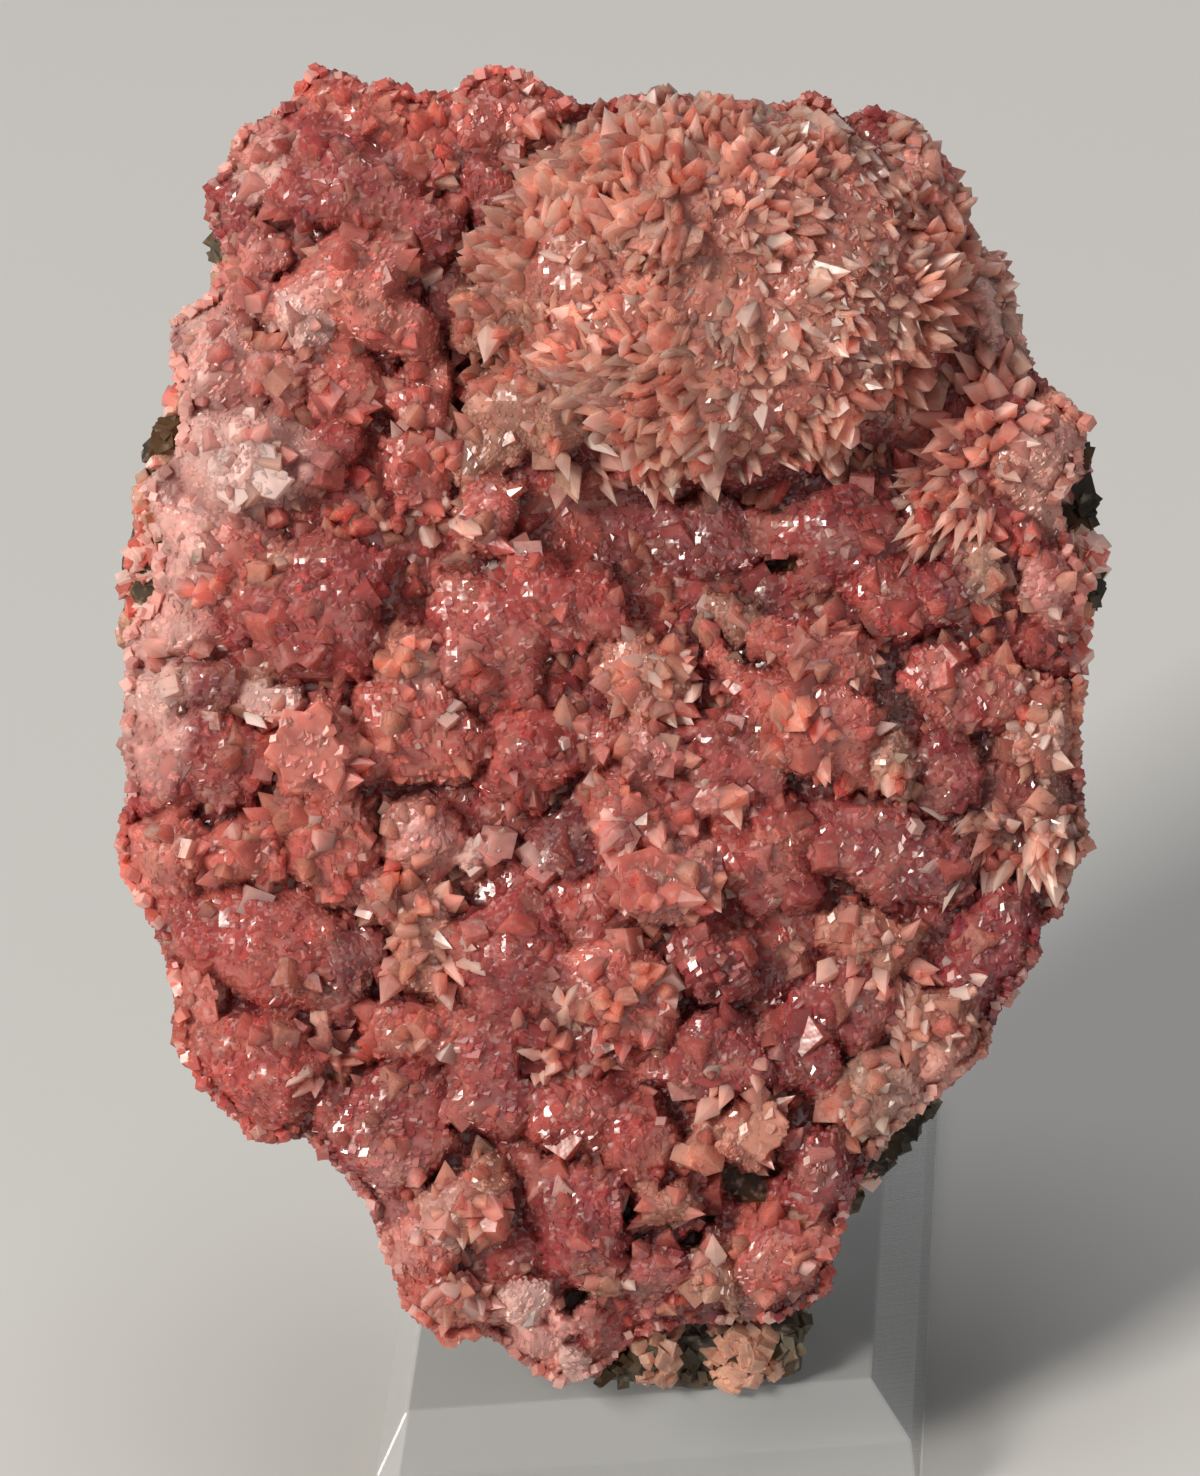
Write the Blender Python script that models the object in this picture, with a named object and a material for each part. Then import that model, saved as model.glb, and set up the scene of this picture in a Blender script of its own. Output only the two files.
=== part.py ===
"""Pink calcite druse on a thin slab of host rock, standing on a clear bevelled block.

Everything is in metres with +Z up. The origin is the centre of the block's underside. The
specimen is drawn in its own face frame, in millimetres: u runs to its right, v up its face and
w out of its face. The face leans back on a clear rest that stands behind it.
"""

import math
import random

import bmesh
import bpy
from mathutils import Matrix, Vector
from mathutils.geometry import delaunay_2d_cdt

MM = 0.001
# Successive points turned by this spread evenly around an axis, radians
GOLDEN_ANGLE = math.pi * (3.0 - math.sqrt(5.0))

# Clear block, mm
BASE_WIDTH = 36.5
BASE_DEPTH = 54.0
BASE_HEIGHT = 9.5
BEVEL_RUN = 2.4
BEVEL_DROP = 3.7

# Clear rest behind the specimen, mm
REST_WIDTH = 21.0
REST_LENGTH = 50.0
REST_THICKNESS = 5.0
REST_CENTRE_X = 1.5
REST_EDGE_BEVEL = 0.6

# How the specimen's face is turned, degrees
FACE_TURN = 7.3
FACE_LEAN = 28.0
FACE_ROLL = 8.0

# Clearance that stands for a bond line between two pieces, mm
BOND = 0.3

# Lowest point of the specimen in its face frame, and where it touches down on the block, mm
TIP_U = 8.67
TIP_V = 0.0
TIP_W = -2.6
TIP_X = 7.05
TIP_OVERHANG = 2.2

# Levels across the specimen's thickness, mm along w
CRUST_BACK = -4.0
CRUST_RIM = -2.2
CRUST_BED = 0.6
ROCK_BACK_DEPTH = 15.5

# How fast the crust thickens inwards from its rim, and the spacing of its facets, mm
RIM_FALL = 2.2
FACET_PITCH = 5.5
# Half the width and the height of the field that the facets are scattered over, mm
FIELD_HALF_WIDTH = 34.0
FIELD_HEIGHT = 90.0
# A facet point's wander and its rows' spacing, as shares of the pitch
FACET_WANDER = 0.3
FACET_ROW_STEP = 0.87
# Least distance of a facet point to the rim, and how much it rises or falls, mm
FACET_CLEARANCE = 1.0
FACET_RELIEF = 0.5

# The specimen's outline seen from the front, clockwise from the top left, mm
OUTLINE = (
    (-20.7, 88.3), (-19.7, 89.3), (-18.0, 88.9), (-16.3, 87.8), (-14.7, 88.3), (-13.0, 87.4),
    (-10.4, 87.3), (-9.5, 88.4), (-8.0, 89.3), (-6.2, 89.0), (-4.0, 87.7), (-2.0, 86.7),
    (0.0, 86.9), (3.3, 87.5), (6.5, 86.8), (9.3, 86.6), (12.0, 86.8), (13.2, 87.5),
    (14.4, 87.1), (15.2, 85.7), (17.5, 86.3), (19.3, 85.8), (20.3, 84.7), (22.0, 83.3),
    (23.6, 80.8), (23.8, 79.0), (24.5, 77.3), (26.2, 76.3), (26.7, 74.8), (26.7, 73.0),
    (27.5, 71.0), (28.5, 68.5), (30.0, 67.3), (31.9, 65.6), (32.1, 63.0), (32.3, 60.5),
    (33.0, 57.5), (33.1, 55.0), (32.8, 53.0), (32.2, 51.0), (31.6, 48.0), (31.2, 45.0),
    (31.4, 42.0), (31.6, 39.5), (31.9, 37.4), (30.8, 35.5), (30.1, 32.8), (28.6, 32.0),
    (28.5, 29.5), (27.2, 26.8), (25.6, 25.2), (25.0, 23.5), (23.4, 21.7), (20.5, 18.0),
    (18.5, 15.8), (16.8, 13.8), (15.4, 11.8), (14.9, 10.0), (14.6, 7.6), (13.5, 6.4),
    (13.3, 4.2), (12.4, 2.2), (10.9, 0.9), (9.5, 0.3), (8.2, 0.0), (6.5, 0.5),
    (4.5, 0.9), (2.0, 1.0), (-0.5, 1.1), (-3.3, 1.2), (-4.8, 2.2), (-6.0, 2.9),
    (-7.3, 4.3), (-9.0, 4.8), (-10.8, 4.2), (-12.2, 5.3), (-13.6, 6.6), (-14.3, 9.0),
    (-15.2, 11.0), (-15.7, 12.8), (-16.8, 14.5), (-18.5, 16.2), (-20.5, 18.2), (-22.5, 17.5),
    (-24.0, 18.1), (-25.3, 19.5), (-27.3, 21.6), (-28.6, 23.5), (-28.9, 26.0), (-29.2, 29.0),
    (-30.0, 31.2), (-31.2, 33.5), (-32.3, 35.3), (-32.9, 37.4), (-32.4, 39.4), (-31.9, 41.0),
    (-32.4, 44.0), (-32.3, 47.0), (-32.2, 49.5), (-33.1, 51.5), (-32.8, 54.2), (-33.0, 56.5),
    (-32.0, 58.4), (-31.7, 61.5), (-30.9, 64.0), (-29.8, 67.0), (-29.2, 70.0), (-29.2, 72.4),
    (-28.3, 73.2), (-26.9, 73.7), (-27.1, 76.5), (-26.9, 79.0), (-26.8, 81.2), (-25.5, 82.8),
    (-24.6, 85.0), (-22.5, 86.0), (-21.2, 87.0),
)

# Where bare rock shows past the crust: centre u and v, reach, how far the crust draws back, mm
BARE_ROCK = (
    (-33.0, 56.5, 6.0, 2.6), (-31.0, 65.5, 3.0, 2.4), (-27.2, 76.6, 2.6, 1.8),
    (32.6, 59.0, 5.0, 2.4), (32.2, 51.5, 3.0, 2.0), (27.5, 27.0, 3.0, 0.9),
    (20.0, 17.0, 6.5, 1.3),
)
# The crust's own lower edge, above the bare foot: where the outline leaves it and comes back
FOOT_EDGE = (
    (12.8, 6.4), (11.3, 5.6), (9.5, 5.8), (7.4, 5.4), (5.4, 5.4), (3.4, 5.0), (1.6, 4.5),
    (0.3, 3.1), (-0.9, 2.0),
)
# How quickly the crust draws back within a bare patch's reach, and from what draw-back on the
# rock shows, mm
BARE_STEEPNESS = 1.8
BARE_FROM = 0.6
FOOT_FROM = (13.5, 6.4)
FOOT_TO = (-3.3, 1.2)
CRUST_INSET = -0.1
ROCK_INSET = 0.7
ROCK_BARE_INSET = 0.0

# Broad swells and hollows of the crust: centre u and v, reach along u and v, height, mm
SWELLS = (
    (7.3, 75.0, 16.5, 14.0, 5.2), (26.0, 58.0, 7.0, 10.0, 1.0), (14.0, 47.5, 8.0, 9.0, 1.8),
    (2.0, 32.0, 12.0, 10.0, 1.4), (-21.0, 50.0, 10.0, 15.0, 1.4), (-23.5, 22.5, 6.5, 5.5, 1.2),
    (-10.0, 70.0, 4.5, 6.5, -2.2), (3.5, 58.5, 9.0, 3.6, -1.8), (10.0, 13.0, 5.0, 4.0, -1.2),
    (-16.5, 77.0, 7.0, 9.0, 1.2), (-3.0, 38.0, 4.0, 3.5, -1.4), (27.5, 33.5, 4.0, 2.5, -1.0),
    (16.5, 71.0, 6.0, 8.0, 1.5), (-9.0, 10.0, 6.0, 6.0, 0.8),
)

# How bluntly a swell rises from its edge
SWELL_POWER = 0.8

# Lumps of fine crystals: centre u and v, half width and half height, turn in degrees, rise, mm
LUMPS = (
    (-17.0, 86.0, 3.9, 2.7, 5, 2.2), (-22.3, 84.2, 2.2, 1.7, 20, 1.8),
    (-24.7, 80.3, 2.0, 1.8, 0, 1.7), (-23.0, 77.2, 2.9, 1.9, 10, 1.8),
    (-15.8, 81.0, 4.6, 3.4, -20, 2.4), (-11.9, 83.6, 2.9, 2.5, 0, 2.0),
    (-8.0, 86.2, 3.5, 2.8, 10, 2.3), (-16.6, 74.6, 3.0, 3.8, 20, 2.8),
    (-20.1, 72.5, 1.8, 2.6, 0, 2.0), (-25.8, 69.2, 3.3, 3.6, 15, 2.2),
    (-21.8, 69.0, 2.3, 2.1, 0, 2.1), (-18.2, 68.0, 2.4, 3.1, 0, 2.3),
    (-24.0, 62.3, 4.0, 3.4, -15, 2.4), (-25.5, 56.7, 3.3, 2.8, 0, 2.6),
    (-29.6, 59.8, 1.5, 2.8, 10, 1.7), (-19.2, 53.2, 5.0, 4.1, -10, 2.9),
    (-13.5, 66.8, 2.6, 2.1, 0, 2.1), (-13.2, 62.8, 2.6, 2.6, 10, 2.5),
    (-8.2, 59.3, 2.7, 2.2, 0, 2.3), (-8.3, 81.0, 2.6, 2.8, 0, 1.6),
    (-3.2, 67.2, 3.3, 2.8, 35, 2.6), (-29.4, 37.2, 2.6, 3.0, 0, 2.6),
    (-29.2, 46.8, 1.6, 2.9, 5, 2.0), (-26.4, 43.0, 3.6, 2.8, 0, 1.9),
    (-20.0, 44.0, 2.8, 3.2, 10, 3.2), (-13.0, 44.9, 4.2, 3.5, 10, 2.8),
    (-8.6, 51.2, 4.2, 3.6, 0, 2.4), (-3.6, 53.6, 3.6, 3.2, -20, 2.8),
    (-5.8, 43.8, 3.2, 3.0, 0, 3.0), (-24.6, 37.2, 2.6, 2.3, 20, 2.0),
    (-19.3, 38.3, 3.3, 2.9, 0, 2.3), (-12.8, 37.6, 2.9, 2.3, 0, 2.4),
    (-2.8, 36.6, 2.9, 2.6, 0, 1.5), (-22.6, 30.6, 4.4, 4.2, 0, 2.9),
    (-18.1, 29.2, 2.2, 3.2, 0, 2.0), (-27.4, 27.4, 1.7, 3.0, 10, 1.9),
    (-12.1, 31.4, 2.6, 3.0, 0, 2.0), (-6.4, 29.6, 3.8, 4.2, 0, 2.2),
    (2.6, 48.4, 3.4, 2.9, 0, 2.4), (3.1, 43.6, 2.9, 2.6, 0, 2.5),
    (2.2, 38.8, 3.0, 2.4, -10, 2.3), (6.9, 56.6, 3.6, 3.2, 0, 1.4),
    (14.3, 57.2, 4.0, 4.0, 0, 2.7), (18.6, 54.0, 3.0, 2.8, 0, 2.1),
    (29.8, 54.4, 2.9, 2.1, -15, 2.4), (13.5, 45.6, 3.3, 3.7, 0, 2.6),
    (13.8, 50.2, 3.5, 1.6, -8, 2.7), (21.6, 48.2, 3.4, 2.7, -20, 2.3),
    (8.6, 42.8, 3.2, 3.3, 0, 1.9), (6.8, 40.4, 2.0, 2.0, 0, 2.2),
    (10.3, 36.6, 3.9, 3.3, 0, 2.4), (3.6, 34.6, 3.1, 2.6, 0, 3.0),
    (6.8, 29.5, 2.4, 2.9, 0, 2.6), (16.6, 37.6, 4.2, 3.0, 0, 2.1),
    (17.6, 31.0, 2.9, 2.0, 0, 2.0), (21.2, 36.0, 2.8, 2.5, 20, 1.8),
    (25.3, 30.2, 3.2, 3.2, 0, 2.3), (28.4, 44.6, 2.5, 3.2, 0, 1.9),
    (28.6, 62.8, 3.0, 3.0, 0, 2.0), (25.2, 72.8, 1.9, 2.9, 15, 1.8),
    (21.0, 81.0, 2.8, 2.6, -40, 1.9), (17.6, 84.5, 2.2, 1.7, 0, 1.7),
    (-23.5, 22.2, 4.1, 3.8, 0, 2.7), (-14.4, 18.5, 3.4, 3.8, 0, 2.5),
    (-12.5, 25.2, 2.8, 2.1, 0, 2.2), (-8.5, 22.4, 3.0, 3.3, 0, 2.2),
    (-9.1, 13.1, 2.5, 2.3, 0, 2.6), (-12.4, 10.4, 2.4, 2.0, 0, 2.0),
    (-11.0, 6.9, 2.4, 2.0, 0, 2.0), (-5.4, 6.7, 1.9, 1.6, 0, 1.9),
    (-4.4, 4.0, 1.7, 1.5, 0, 1.6), (-2.0, 12.8, 3.6, 3.3, 0, 2.6),
    (-2.4, 19.3, 3.3, 2.6, 0, 2.2), (0.8, 27.6, 3.5, 2.9, 0, 2.4),
    (6.4, 23.4, 4.1, 2.9, -10, 2.6), (9.4, 18.6, 2.8, 2.2, 15, 2.7),
    (12.3, 24.0, 2.8, 2.8, 0, 2.2), (16.4, 27.0, 3.2, 2.8, 0, 2.1),
    (17.0, 20.8, 3.2, 2.4, 0, 2.0), (22.0, 25.4, 3.0, 2.7, -30, 2.0),
    (13.4, 15.9, 2.6, 3.0, 0, 2.3), (11.6, 10.3, 2.7, 3.1, -35, 2.6),
    (1.9, 18.0, 2.6, 2.7, 0, 2.1), (2.4, 8.8, 2.8, 1.9, 0, 2.0),
    (7.2, 8.4, 2.2, 1.8, 0, 1.9),
)
# A lump's half depth against its rise, and how much its hull's points stand out
LUMP_DEPTH = 1.25
LUMP_FULLNESS = (1.22, 1.45)
LUMP_TURN_WANDER = 0.45
# Least height of a lump's or a crystal's sunk end over the crust's flat back, mm
SUNK_CLEARANCE = 0.25
LUMP_POINTS = 12
SMALL_LUMP_POINTS = 9
SMALL_LUMP_AREA = 6.0

# Sprays of pointed crystals: centre u and v, reach along u and v, how many, length, radius,
# lean along u and v at the centre, and how much they fan out, mm
SPRAYS = (
    (7.0, 77.0, 12.5, 7.5, 23, 4.8, 1.8, 0.0, -0.15, 1.0),
    (6.5, 65.2, 11.0, 2.4, 15, 5.4, 1.35, 0.0, -1.0, 0.8),
    (17.0, 68.0, 3.5, 3.5, 5, 4.6, 1.35, 0.3, -0.9, 0.9),
    (22.5, 60.0, 2.2, 2.4, 6, 4.4, 1.05, -0.8, -0.7, 0.9),
    (25.6, 66.0, 2.0, 2.4, 4, 4.4, 1.5, -0.1, 0.3, 0.8),
    (25.5, 38.0, 4.2, 1.8, 8, 4.4, 1.15, -0.4, -0.9, 1.0),
    (29.3, 37.2, 1.2, 2.6, 4, 4.0, 1.2, 0.0, -0.9, 0.6),
    (-12.4, 31.0, 3.0, 3.0, 6, 4.0, 1.3, 0.0, -0.3, 1.3),
    (-19.2, 23.6, 2.0, 2.0, 5, 4.0, 1.25, -0.2, 0.1, 1.6),
    (-3.6, 24.2, 2.8, 2.4, 6, 3.8, 1.2, 0.2, 0.1, 1.7),
    (17.5, 29.6, 2.6, 2.0, 4, 3.8, 1.2, -0.2, -0.5, 1.2),
    (3.4, 48.0, 3.0, 2.4, 5, 3.4, 1.4, 0.0, -0.2, 1.0),
    (2.2, 38.4, 2.8, 2.0, 4, 3.4, 1.3, 0.1, -0.9, 0.8),
    (-11.6, 58.8, 2.0, 1.2, 3, 3.2, 1.3, 0.1, -0.4, 0.9),
    (-8.3, 56.6, 1.6, 1.0, 2, 3.2, 1.3, -0.1, -0.3, 0.9),
    (-1.8, 63.0, 2.2, 1.6, 3, 4.4, 1.2, 0.5, -0.8, 0.5),
    (-10.4, 7.4, 2.0, 1.8, 3, 3.0, 1.2, -0.2, -0.2, 0.8),
    (17.4, 19.2, 2.8, 1.8, 4, 2.6, 1.0, 0.2, -0.3, 1.1),
    (9.0, 21.5, 2.4, 1.4, 2, 3.2, 1.3, 0.1, -0.8, 0.8),
)
CRYSTAL_SIDES = 6
CRYSTAL_GIRDLE = 0.42
CRYSTAL_BURIED = 0.35
CRYSTAL_ZIGZAG = 0.07
# How deep a spray's crystals are rooted, mm, and how much their turn and lean wander
SPRAY_ROOTED = 0.2
SPRAY_TURN_WANDER = 0.3
SPRAY_LEAN_WANDER = 0.2
SPRAY_LENGTHS = (0.75, 1.1)
SPRAY_WIDTHS = (0.8, 1.15)

# Openings through or into the crust: centre u and v, half width and half height, floor, mm
OPENINGS = (
    (9.0, 14.2, 1.7, 1.5, -5.0), (5.7, 12.1, 0.6, 0.6, -2.6), (5.2, 10.4, 0.7, 0.6, -2.6),
    (0.7, 13.0, 0.6, 1.6, -1.4), (-2.2, 6.9, 0.9, 0.9, -2.6), (10.9, 55.2, 1.6, 0.6, -1.6),
)
OPENING_TOP = 12.0
OPENING_SIDES = 7
# An opening's size at its floor and at its mouth, and how uneven its corners are
OPENING_FLOOR_SIZE = 0.75
OPENING_MOUTH_SIZE = 1.25
OPENING_UNEVEN = (0.85, 1.1)

# Rock that fills the foot below the crust: centre u, v and w, half sizes along u, v and w, mm
FOOT_LUMPS = (
    (3.0, 3.2, -5.4, 3.4, 2.2, 3.8), (8.6, 2.9, -5.6, 3.6, 3.0, 4.2),
    (11.6, 3.9, -6.0, 2.0, 3.1, 3.6),
)
FOOT_POINTS = 16
FOOT_TURN_WANDER = 0.4
FOOT_UNEVEN = (0.9, 1.08)
FOOT_CLEARANCE = 0.6
# The room below the foot that the level cut clears: half width, depth in front and drop, mm
CUT_REACH = 60.0
CUT_FRONT = 30.0
CUT_DROP = 40.0
# Rock layers behind the crust: w, how often each one's outline is smoothed, how far it draws in
ROCK_LAYERS = ((-4.3, 0, 0.0), (-8.0, 2, 0.1))
ROCK_BACK_SMOOTHED = 6
ROCK_BACK_INSET = 1.2
ROCK_JITTER = 0.3

CALCITE_COLOUR = (0.52, 0.14, 0.11, 1.0)
ROCK_COLOUR = (0.10, 0.07, 0.035, 1.0)
ACRYLIC_COLOUR = (0.93, 0.95, 0.94, 1.0)


def material(name, colour, roughness, transmission=0.0):
    """A plain Principled material."""
    made = bpy.data.materials.new(name)
    made.use_nodes = True
    shader = made.node_tree.nodes["Principled BSDF"]
    shader.inputs["Base Color"].default_value = colour
    shader.inputs["Roughness"].default_value = roughness
    shader.inputs["Metallic"].default_value = 0.0
    shader.inputs["Transmission Weight"].default_value = transmission
    made.diffuse_color = colour
    return made


def face_axes():
    """The directions of u, v and w in the room."""
    turn, lean, roll = (math.radians(a) for a in (FACE_TURN, FACE_LEAN, FACE_ROLL))
    out = Vector((
        math.sin(turn) * math.cos(lean),
        -math.cos(turn) * math.cos(lean),
        math.sin(lean),
    ))
    level = Vector((math.cos(turn), math.sin(turn), 0.0))
    steep = out.cross(level)
    right = math.cos(roll) * level - math.sin(roll) * steep
    up = math.cos(roll) * steep + math.sin(roll) * level
    return right, up, out


RIGHT, UP, OUT = face_axes()
BASE_TOP_FRONT = -BASE_DEPTH / 2 + BEVEL_RUN
FOOT_LEVEL = BASE_HEIGHT + BOND
TIP = Vector((TIP_X, BASE_TOP_FRONT - TIP_OVERHANG, FOOT_LEVEL))
FACE_ORIGIN = TIP - TIP_U * RIGHT - TIP_V * UP - TIP_W * OUT
REST_NORMAL = Vector((0.0, -math.cos(math.radians(FACE_LEAN)), math.sin(math.radians(FACE_LEAN))))
REST_UP = Vector((0.0, math.sin(math.radians(FACE_LEAN)), math.cos(math.radians(FACE_LEAN))))


def in_face(direction):
    """A direction of the room as components along u, v and w."""
    return Vector((direction.dot(RIGHT), direction.dot(UP), direction.dot(OUT)))


def rock_back(u, v):
    """The w of the rock's flat back, which lies parallel to the rest."""
    n = in_face(REST_NORMAL)
    return (-ROCK_BACK_DEPTH - n.x * u - n.y * v) / n.z


def inward(points):
    """The inward unit normal at each point of a clockwise outline."""
    normals = []
    count = len(points)
    for i in range(count):
        before = Vector(points[i - 1])
        after = Vector(points[(i + 1) % count])
        along = (after - before).normalized()
        normals.append(Vector((along.y, -along.x)))
    return normals


def draw_back(u, v):
    """How far the crust draws back from the outline at a point, where bare rock shows."""
    most = 0.0
    for cu, cv, reach, depth in BARE_ROCK:
        near = 1.0 - math.hypot(u - cu, v - cv) / reach
        if near > 0.0:
            most = max(most, depth * min(1.0, BARE_STEEPNESS * near))
    return most


def ring(points, insets):
    """An outline moved inwards by the inset given for each of its points."""
    normals = inward(points)
    return [Vector(p) + n * d for p, n, d in zip(points, normals, insets)]


def crust_outline():
    """The crust's outline: the specimen's, with the bare foot left out."""
    first = OUTLINE.index(FOOT_FROM)
    last = OUTLINE.index(FOOT_TO)
    points = OUTLINE[:first] + FOOT_EDGE + OUTLINE[last:]
    return ring(points, [CRUST_INSET + draw_back(u, v) for u, v in points])


def rock_outline():
    """The rock's outline, which reaches the specimen's wherever the crust draws back."""
    first = OUTLINE.index(FOOT_FROM)
    last = OUTLINE.index(FOOT_TO)
    insets = [
        ROCK_BARE_INSET if draw_back(u, v) > BARE_FROM or first <= i <= last else ROCK_INSET
        for i, (u, v) in enumerate(OUTLINE)
    ]
    return ring(OUTLINE, insets)


def inside(u, v, outline):
    """Whether a point lies inside an outline."""
    within = False
    for i in range(len(outline)):
        a, b = outline[i - 1], outline[i]
        if (a.y > v) != (b.y > v):
            if u < a.x + (v - a.y) / (b.y - a.y) * (b.x - a.x):
                within = not within
    return within


def edge_distance(u, v, outline):
    """The shortest distance from a point to an outline."""
    p = Vector((u, v))
    least = 1e9
    for i in range(len(outline)):
        a, b = outline[i - 1], outline[i]
        along = b - a
        t = max(0.0, min(1.0, (p - a).dot(along) / along.length_squared))
        least = min(least, (p - a - along * t).length)
    return least


CRUST_EDGE = crust_outline()


def crust_level(u, v):
    """The w of the crust's surface before lumps and crystals are added."""
    away = edge_distance(u, v, CRUST_EDGE) if inside(u, v, CRUST_EDGE) else 0.0
    level = CRUST_RIM + (CRUST_BED - CRUST_RIM) * (1.0 - math.exp(-away / RIM_FALL))
    for cu, cv, ru, rv, height in SWELLS:
        reach = ((u - cu) / ru) ** 2 + ((v - cv) / rv) ** 2
        if reach < 1.0:
            level += height * (1.0 - reach) ** SWELL_POWER * min(1.0, away / RIM_FALL)
    return level


def put(obj, frame, slot):
    """Gives an object its material and hangs it on the specimen's frame."""
    bpy.context.scene.collection.objects.link(obj)
    obj.parent = frame
    obj.data.materials.append(slot)
    return obj


def mesh_object(name, bm):
    """An object of a bmesh that is drawn in millimetres."""
    bmesh.ops.scale(bm, vec=(MM, MM, MM), verts=bm.verts)
    bmesh.ops.recalc_face_normals(bm, faces=bm.faces)
    mesh = bpy.data.meshes.new(name)
    bm.to_mesh(mesh)
    bm.free()
    return bpy.data.objects.new(name, mesh)


def facet_points(rng):
    """Scattered points inside the crust, about one pitch apart."""
    points = []
    row = 0
    v = 0.0
    while v < FIELD_HEIGHT:
        u = -FIELD_HALF_WIDTH + (row % 2) * FACET_PITCH / 2
        while u < FIELD_HALF_WIDTH:
            pu = u + rng.uniform(-FACET_WANDER, FACET_WANDER) * FACET_PITCH
            pv = v + rng.uniform(-FACET_WANDER, FACET_WANDER) * FACET_PITCH
            if inside(pu, pv, CRUST_EDGE):
                if edge_distance(pu, pv, CRUST_EDGE) > FACET_CLEARANCE:
                    points.append(Vector((pu, pv)))
            u += FACET_PITCH
        v += FACET_PITCH * FACET_ROW_STEP
        row += 1
    return points


def crust_body():
    """The crust's faceted bed: a flat back, a steep rim and an uneven front."""
    rng = random.Random(11)
    count = len(CRUST_EDGE)
    points = list(CRUST_EDGE) + facet_points(rng)
    edges = [(i, (i + 1) % count) for i in range(count)]
    flat, _, faces, _, _, _ = delaunay_2d_cdt(points, edges, [], 1, 1e-5)
    bm = bmesh.new()
    front = []
    for i, p in enumerate(flat):
        level = CRUST_RIM
        if i >= count:
            level = crust_level(p.x, p.y) + rng.uniform(-FACET_RELIEF, FACET_RELIEF)
        front.append(bm.verts.new((p.x, p.y, level)))
    for face in faces:
        bm.faces.new([front[i] for i in face])
    back = [bm.verts.new((p.x, p.y, CRUST_BACK)) for p in CRUST_EDGE]
    for i in range(count):
        j = (i + 1) % count
        bm.faces.new((front[i], front[j], back[j], back[i]))
    bm.faces.new(back)
    bmesh.ops.triangulate(bm, faces=bm.faces)
    return mesh_object("calcite_druse", bm)


def hull_of(bm):
    """Spans a convex hull over the points and drops those that lie inside it."""
    hull = bmesh.ops.convex_hull(bm, input=bm.verts)
    loose = set(hull["geom_interior"]) | set(hull["geom_unused"])
    bmesh.ops.delete(bm, geom=[g for g in loose if isinstance(g, bmesh.types.BMVert)])


def lump(name, row, rng):
    """A knob of intergrown crystals: a hull with flat faces, half sunk in the crust."""
    u, v, half_u, half_v, turn, rise = row
    half_w = rise * LUMP_DEPTH
    centre = Vector((u, v, crust_level(u, v) + rise - half_w))
    spin = Matrix.Rotation(math.radians(turn), 3, "Z")
    count = SMALL_LUMP_POINTS if half_u * half_v < SMALL_LUMP_AREA else LUMP_POINTS
    bm = bmesh.new()
    for i in range(count):
        height = 1.0 - 2.0 * (i + 0.5) / count
        around = i * GOLDEN_ANGLE + rng.uniform(-LUMP_TURN_WANDER, LUMP_TURN_WANDER)
        flat = math.sqrt(1.0 - height * height)
        size = rng.uniform(*LUMP_FULLNESS)
        p = Vector((flat * math.cos(around), flat * math.sin(around), height)) * size
        p = centre + spin @ Vector((p.x * half_u, p.y * half_v, p.z * half_w / size))
        p.z = max(p.z, CRUST_BACK + SUNK_CLEARANCE)
        bm.verts.new(p)
    hull_of(bm)
    return mesh_object(name, bm)


def crystal(name, foot, direction, length, radius, turn):
    """A pointed crystal: two steep six-sided pyramids on one girdle."""
    bm = bmesh.new()
    ahead = direction.normalized()
    aside = ahead.orthogonal().normalized()
    across = ahead.cross(aside)
    tip = bm.verts.new(foot + ahead * length)
    buried = foot - ahead * length * CRYSTAL_BURIED
    buried.z = max(buried.z, CRUST_BACK + SUNK_CLEARANCE)
    root = bm.verts.new(buried)
    girdle = []
    for k in range(CRYSTAL_SIDES):
        angle = turn + 2 * math.pi * k / CRYSTAL_SIDES
        step = CRYSTAL_ZIGZAG * length * (1 if k % 2 else -1)
        out = aside * math.cos(angle) + across * math.sin(angle)
        at = foot + ahead * (length * CRYSTAL_GIRDLE + step) + out * radius
        girdle.append(bm.verts.new(at))
    for k in range(CRYSTAL_SIDES):
        a, b = girdle[k], girdle[(k + 1) % CRYSTAL_SIDES]
        bm.faces.new((tip, a, b))
        bm.faces.new((root, b, a))
    return mesh_object(name, bm)


def spray(name, row, rng):
    """A group of pointed crystals that fan out from a focus behind the crust."""
    cu, cv, reach_u, reach_v, count, length, radius, lean_u, lean_v, fan = row
    made = []
    for i in range(count):
        away = math.sqrt((i + 0.5) / count)
        around = i * GOLDEN_ANGLE + rng.uniform(-SPRAY_TURN_WANDER, SPRAY_TURN_WANDER)
        du, dv = away * math.cos(around), away * math.sin(around)
        u, v = cu + du * reach_u, cv + dv * reach_v
        foot = Vector((u, v, crust_level(u, v) - SPRAY_ROOTED))
        out = Vector((
            lean_u + fan * du + rng.uniform(-SPRAY_LEAN_WANDER, SPRAY_LEAN_WANDER),
            lean_v + fan * dv + rng.uniform(-SPRAY_LEAN_WANDER, SPRAY_LEAN_WANDER),
            1.0,
        ))
        long = length * rng.uniform(*SPRAY_LENGTHS)
        wide = radius * rng.uniform(*SPRAY_WIDTHS)
        turn = rng.uniform(0.0, math.pi)
        made.append(crystal(f"{name}_{i}", foot, out, long, wide, turn))
    return made


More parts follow.
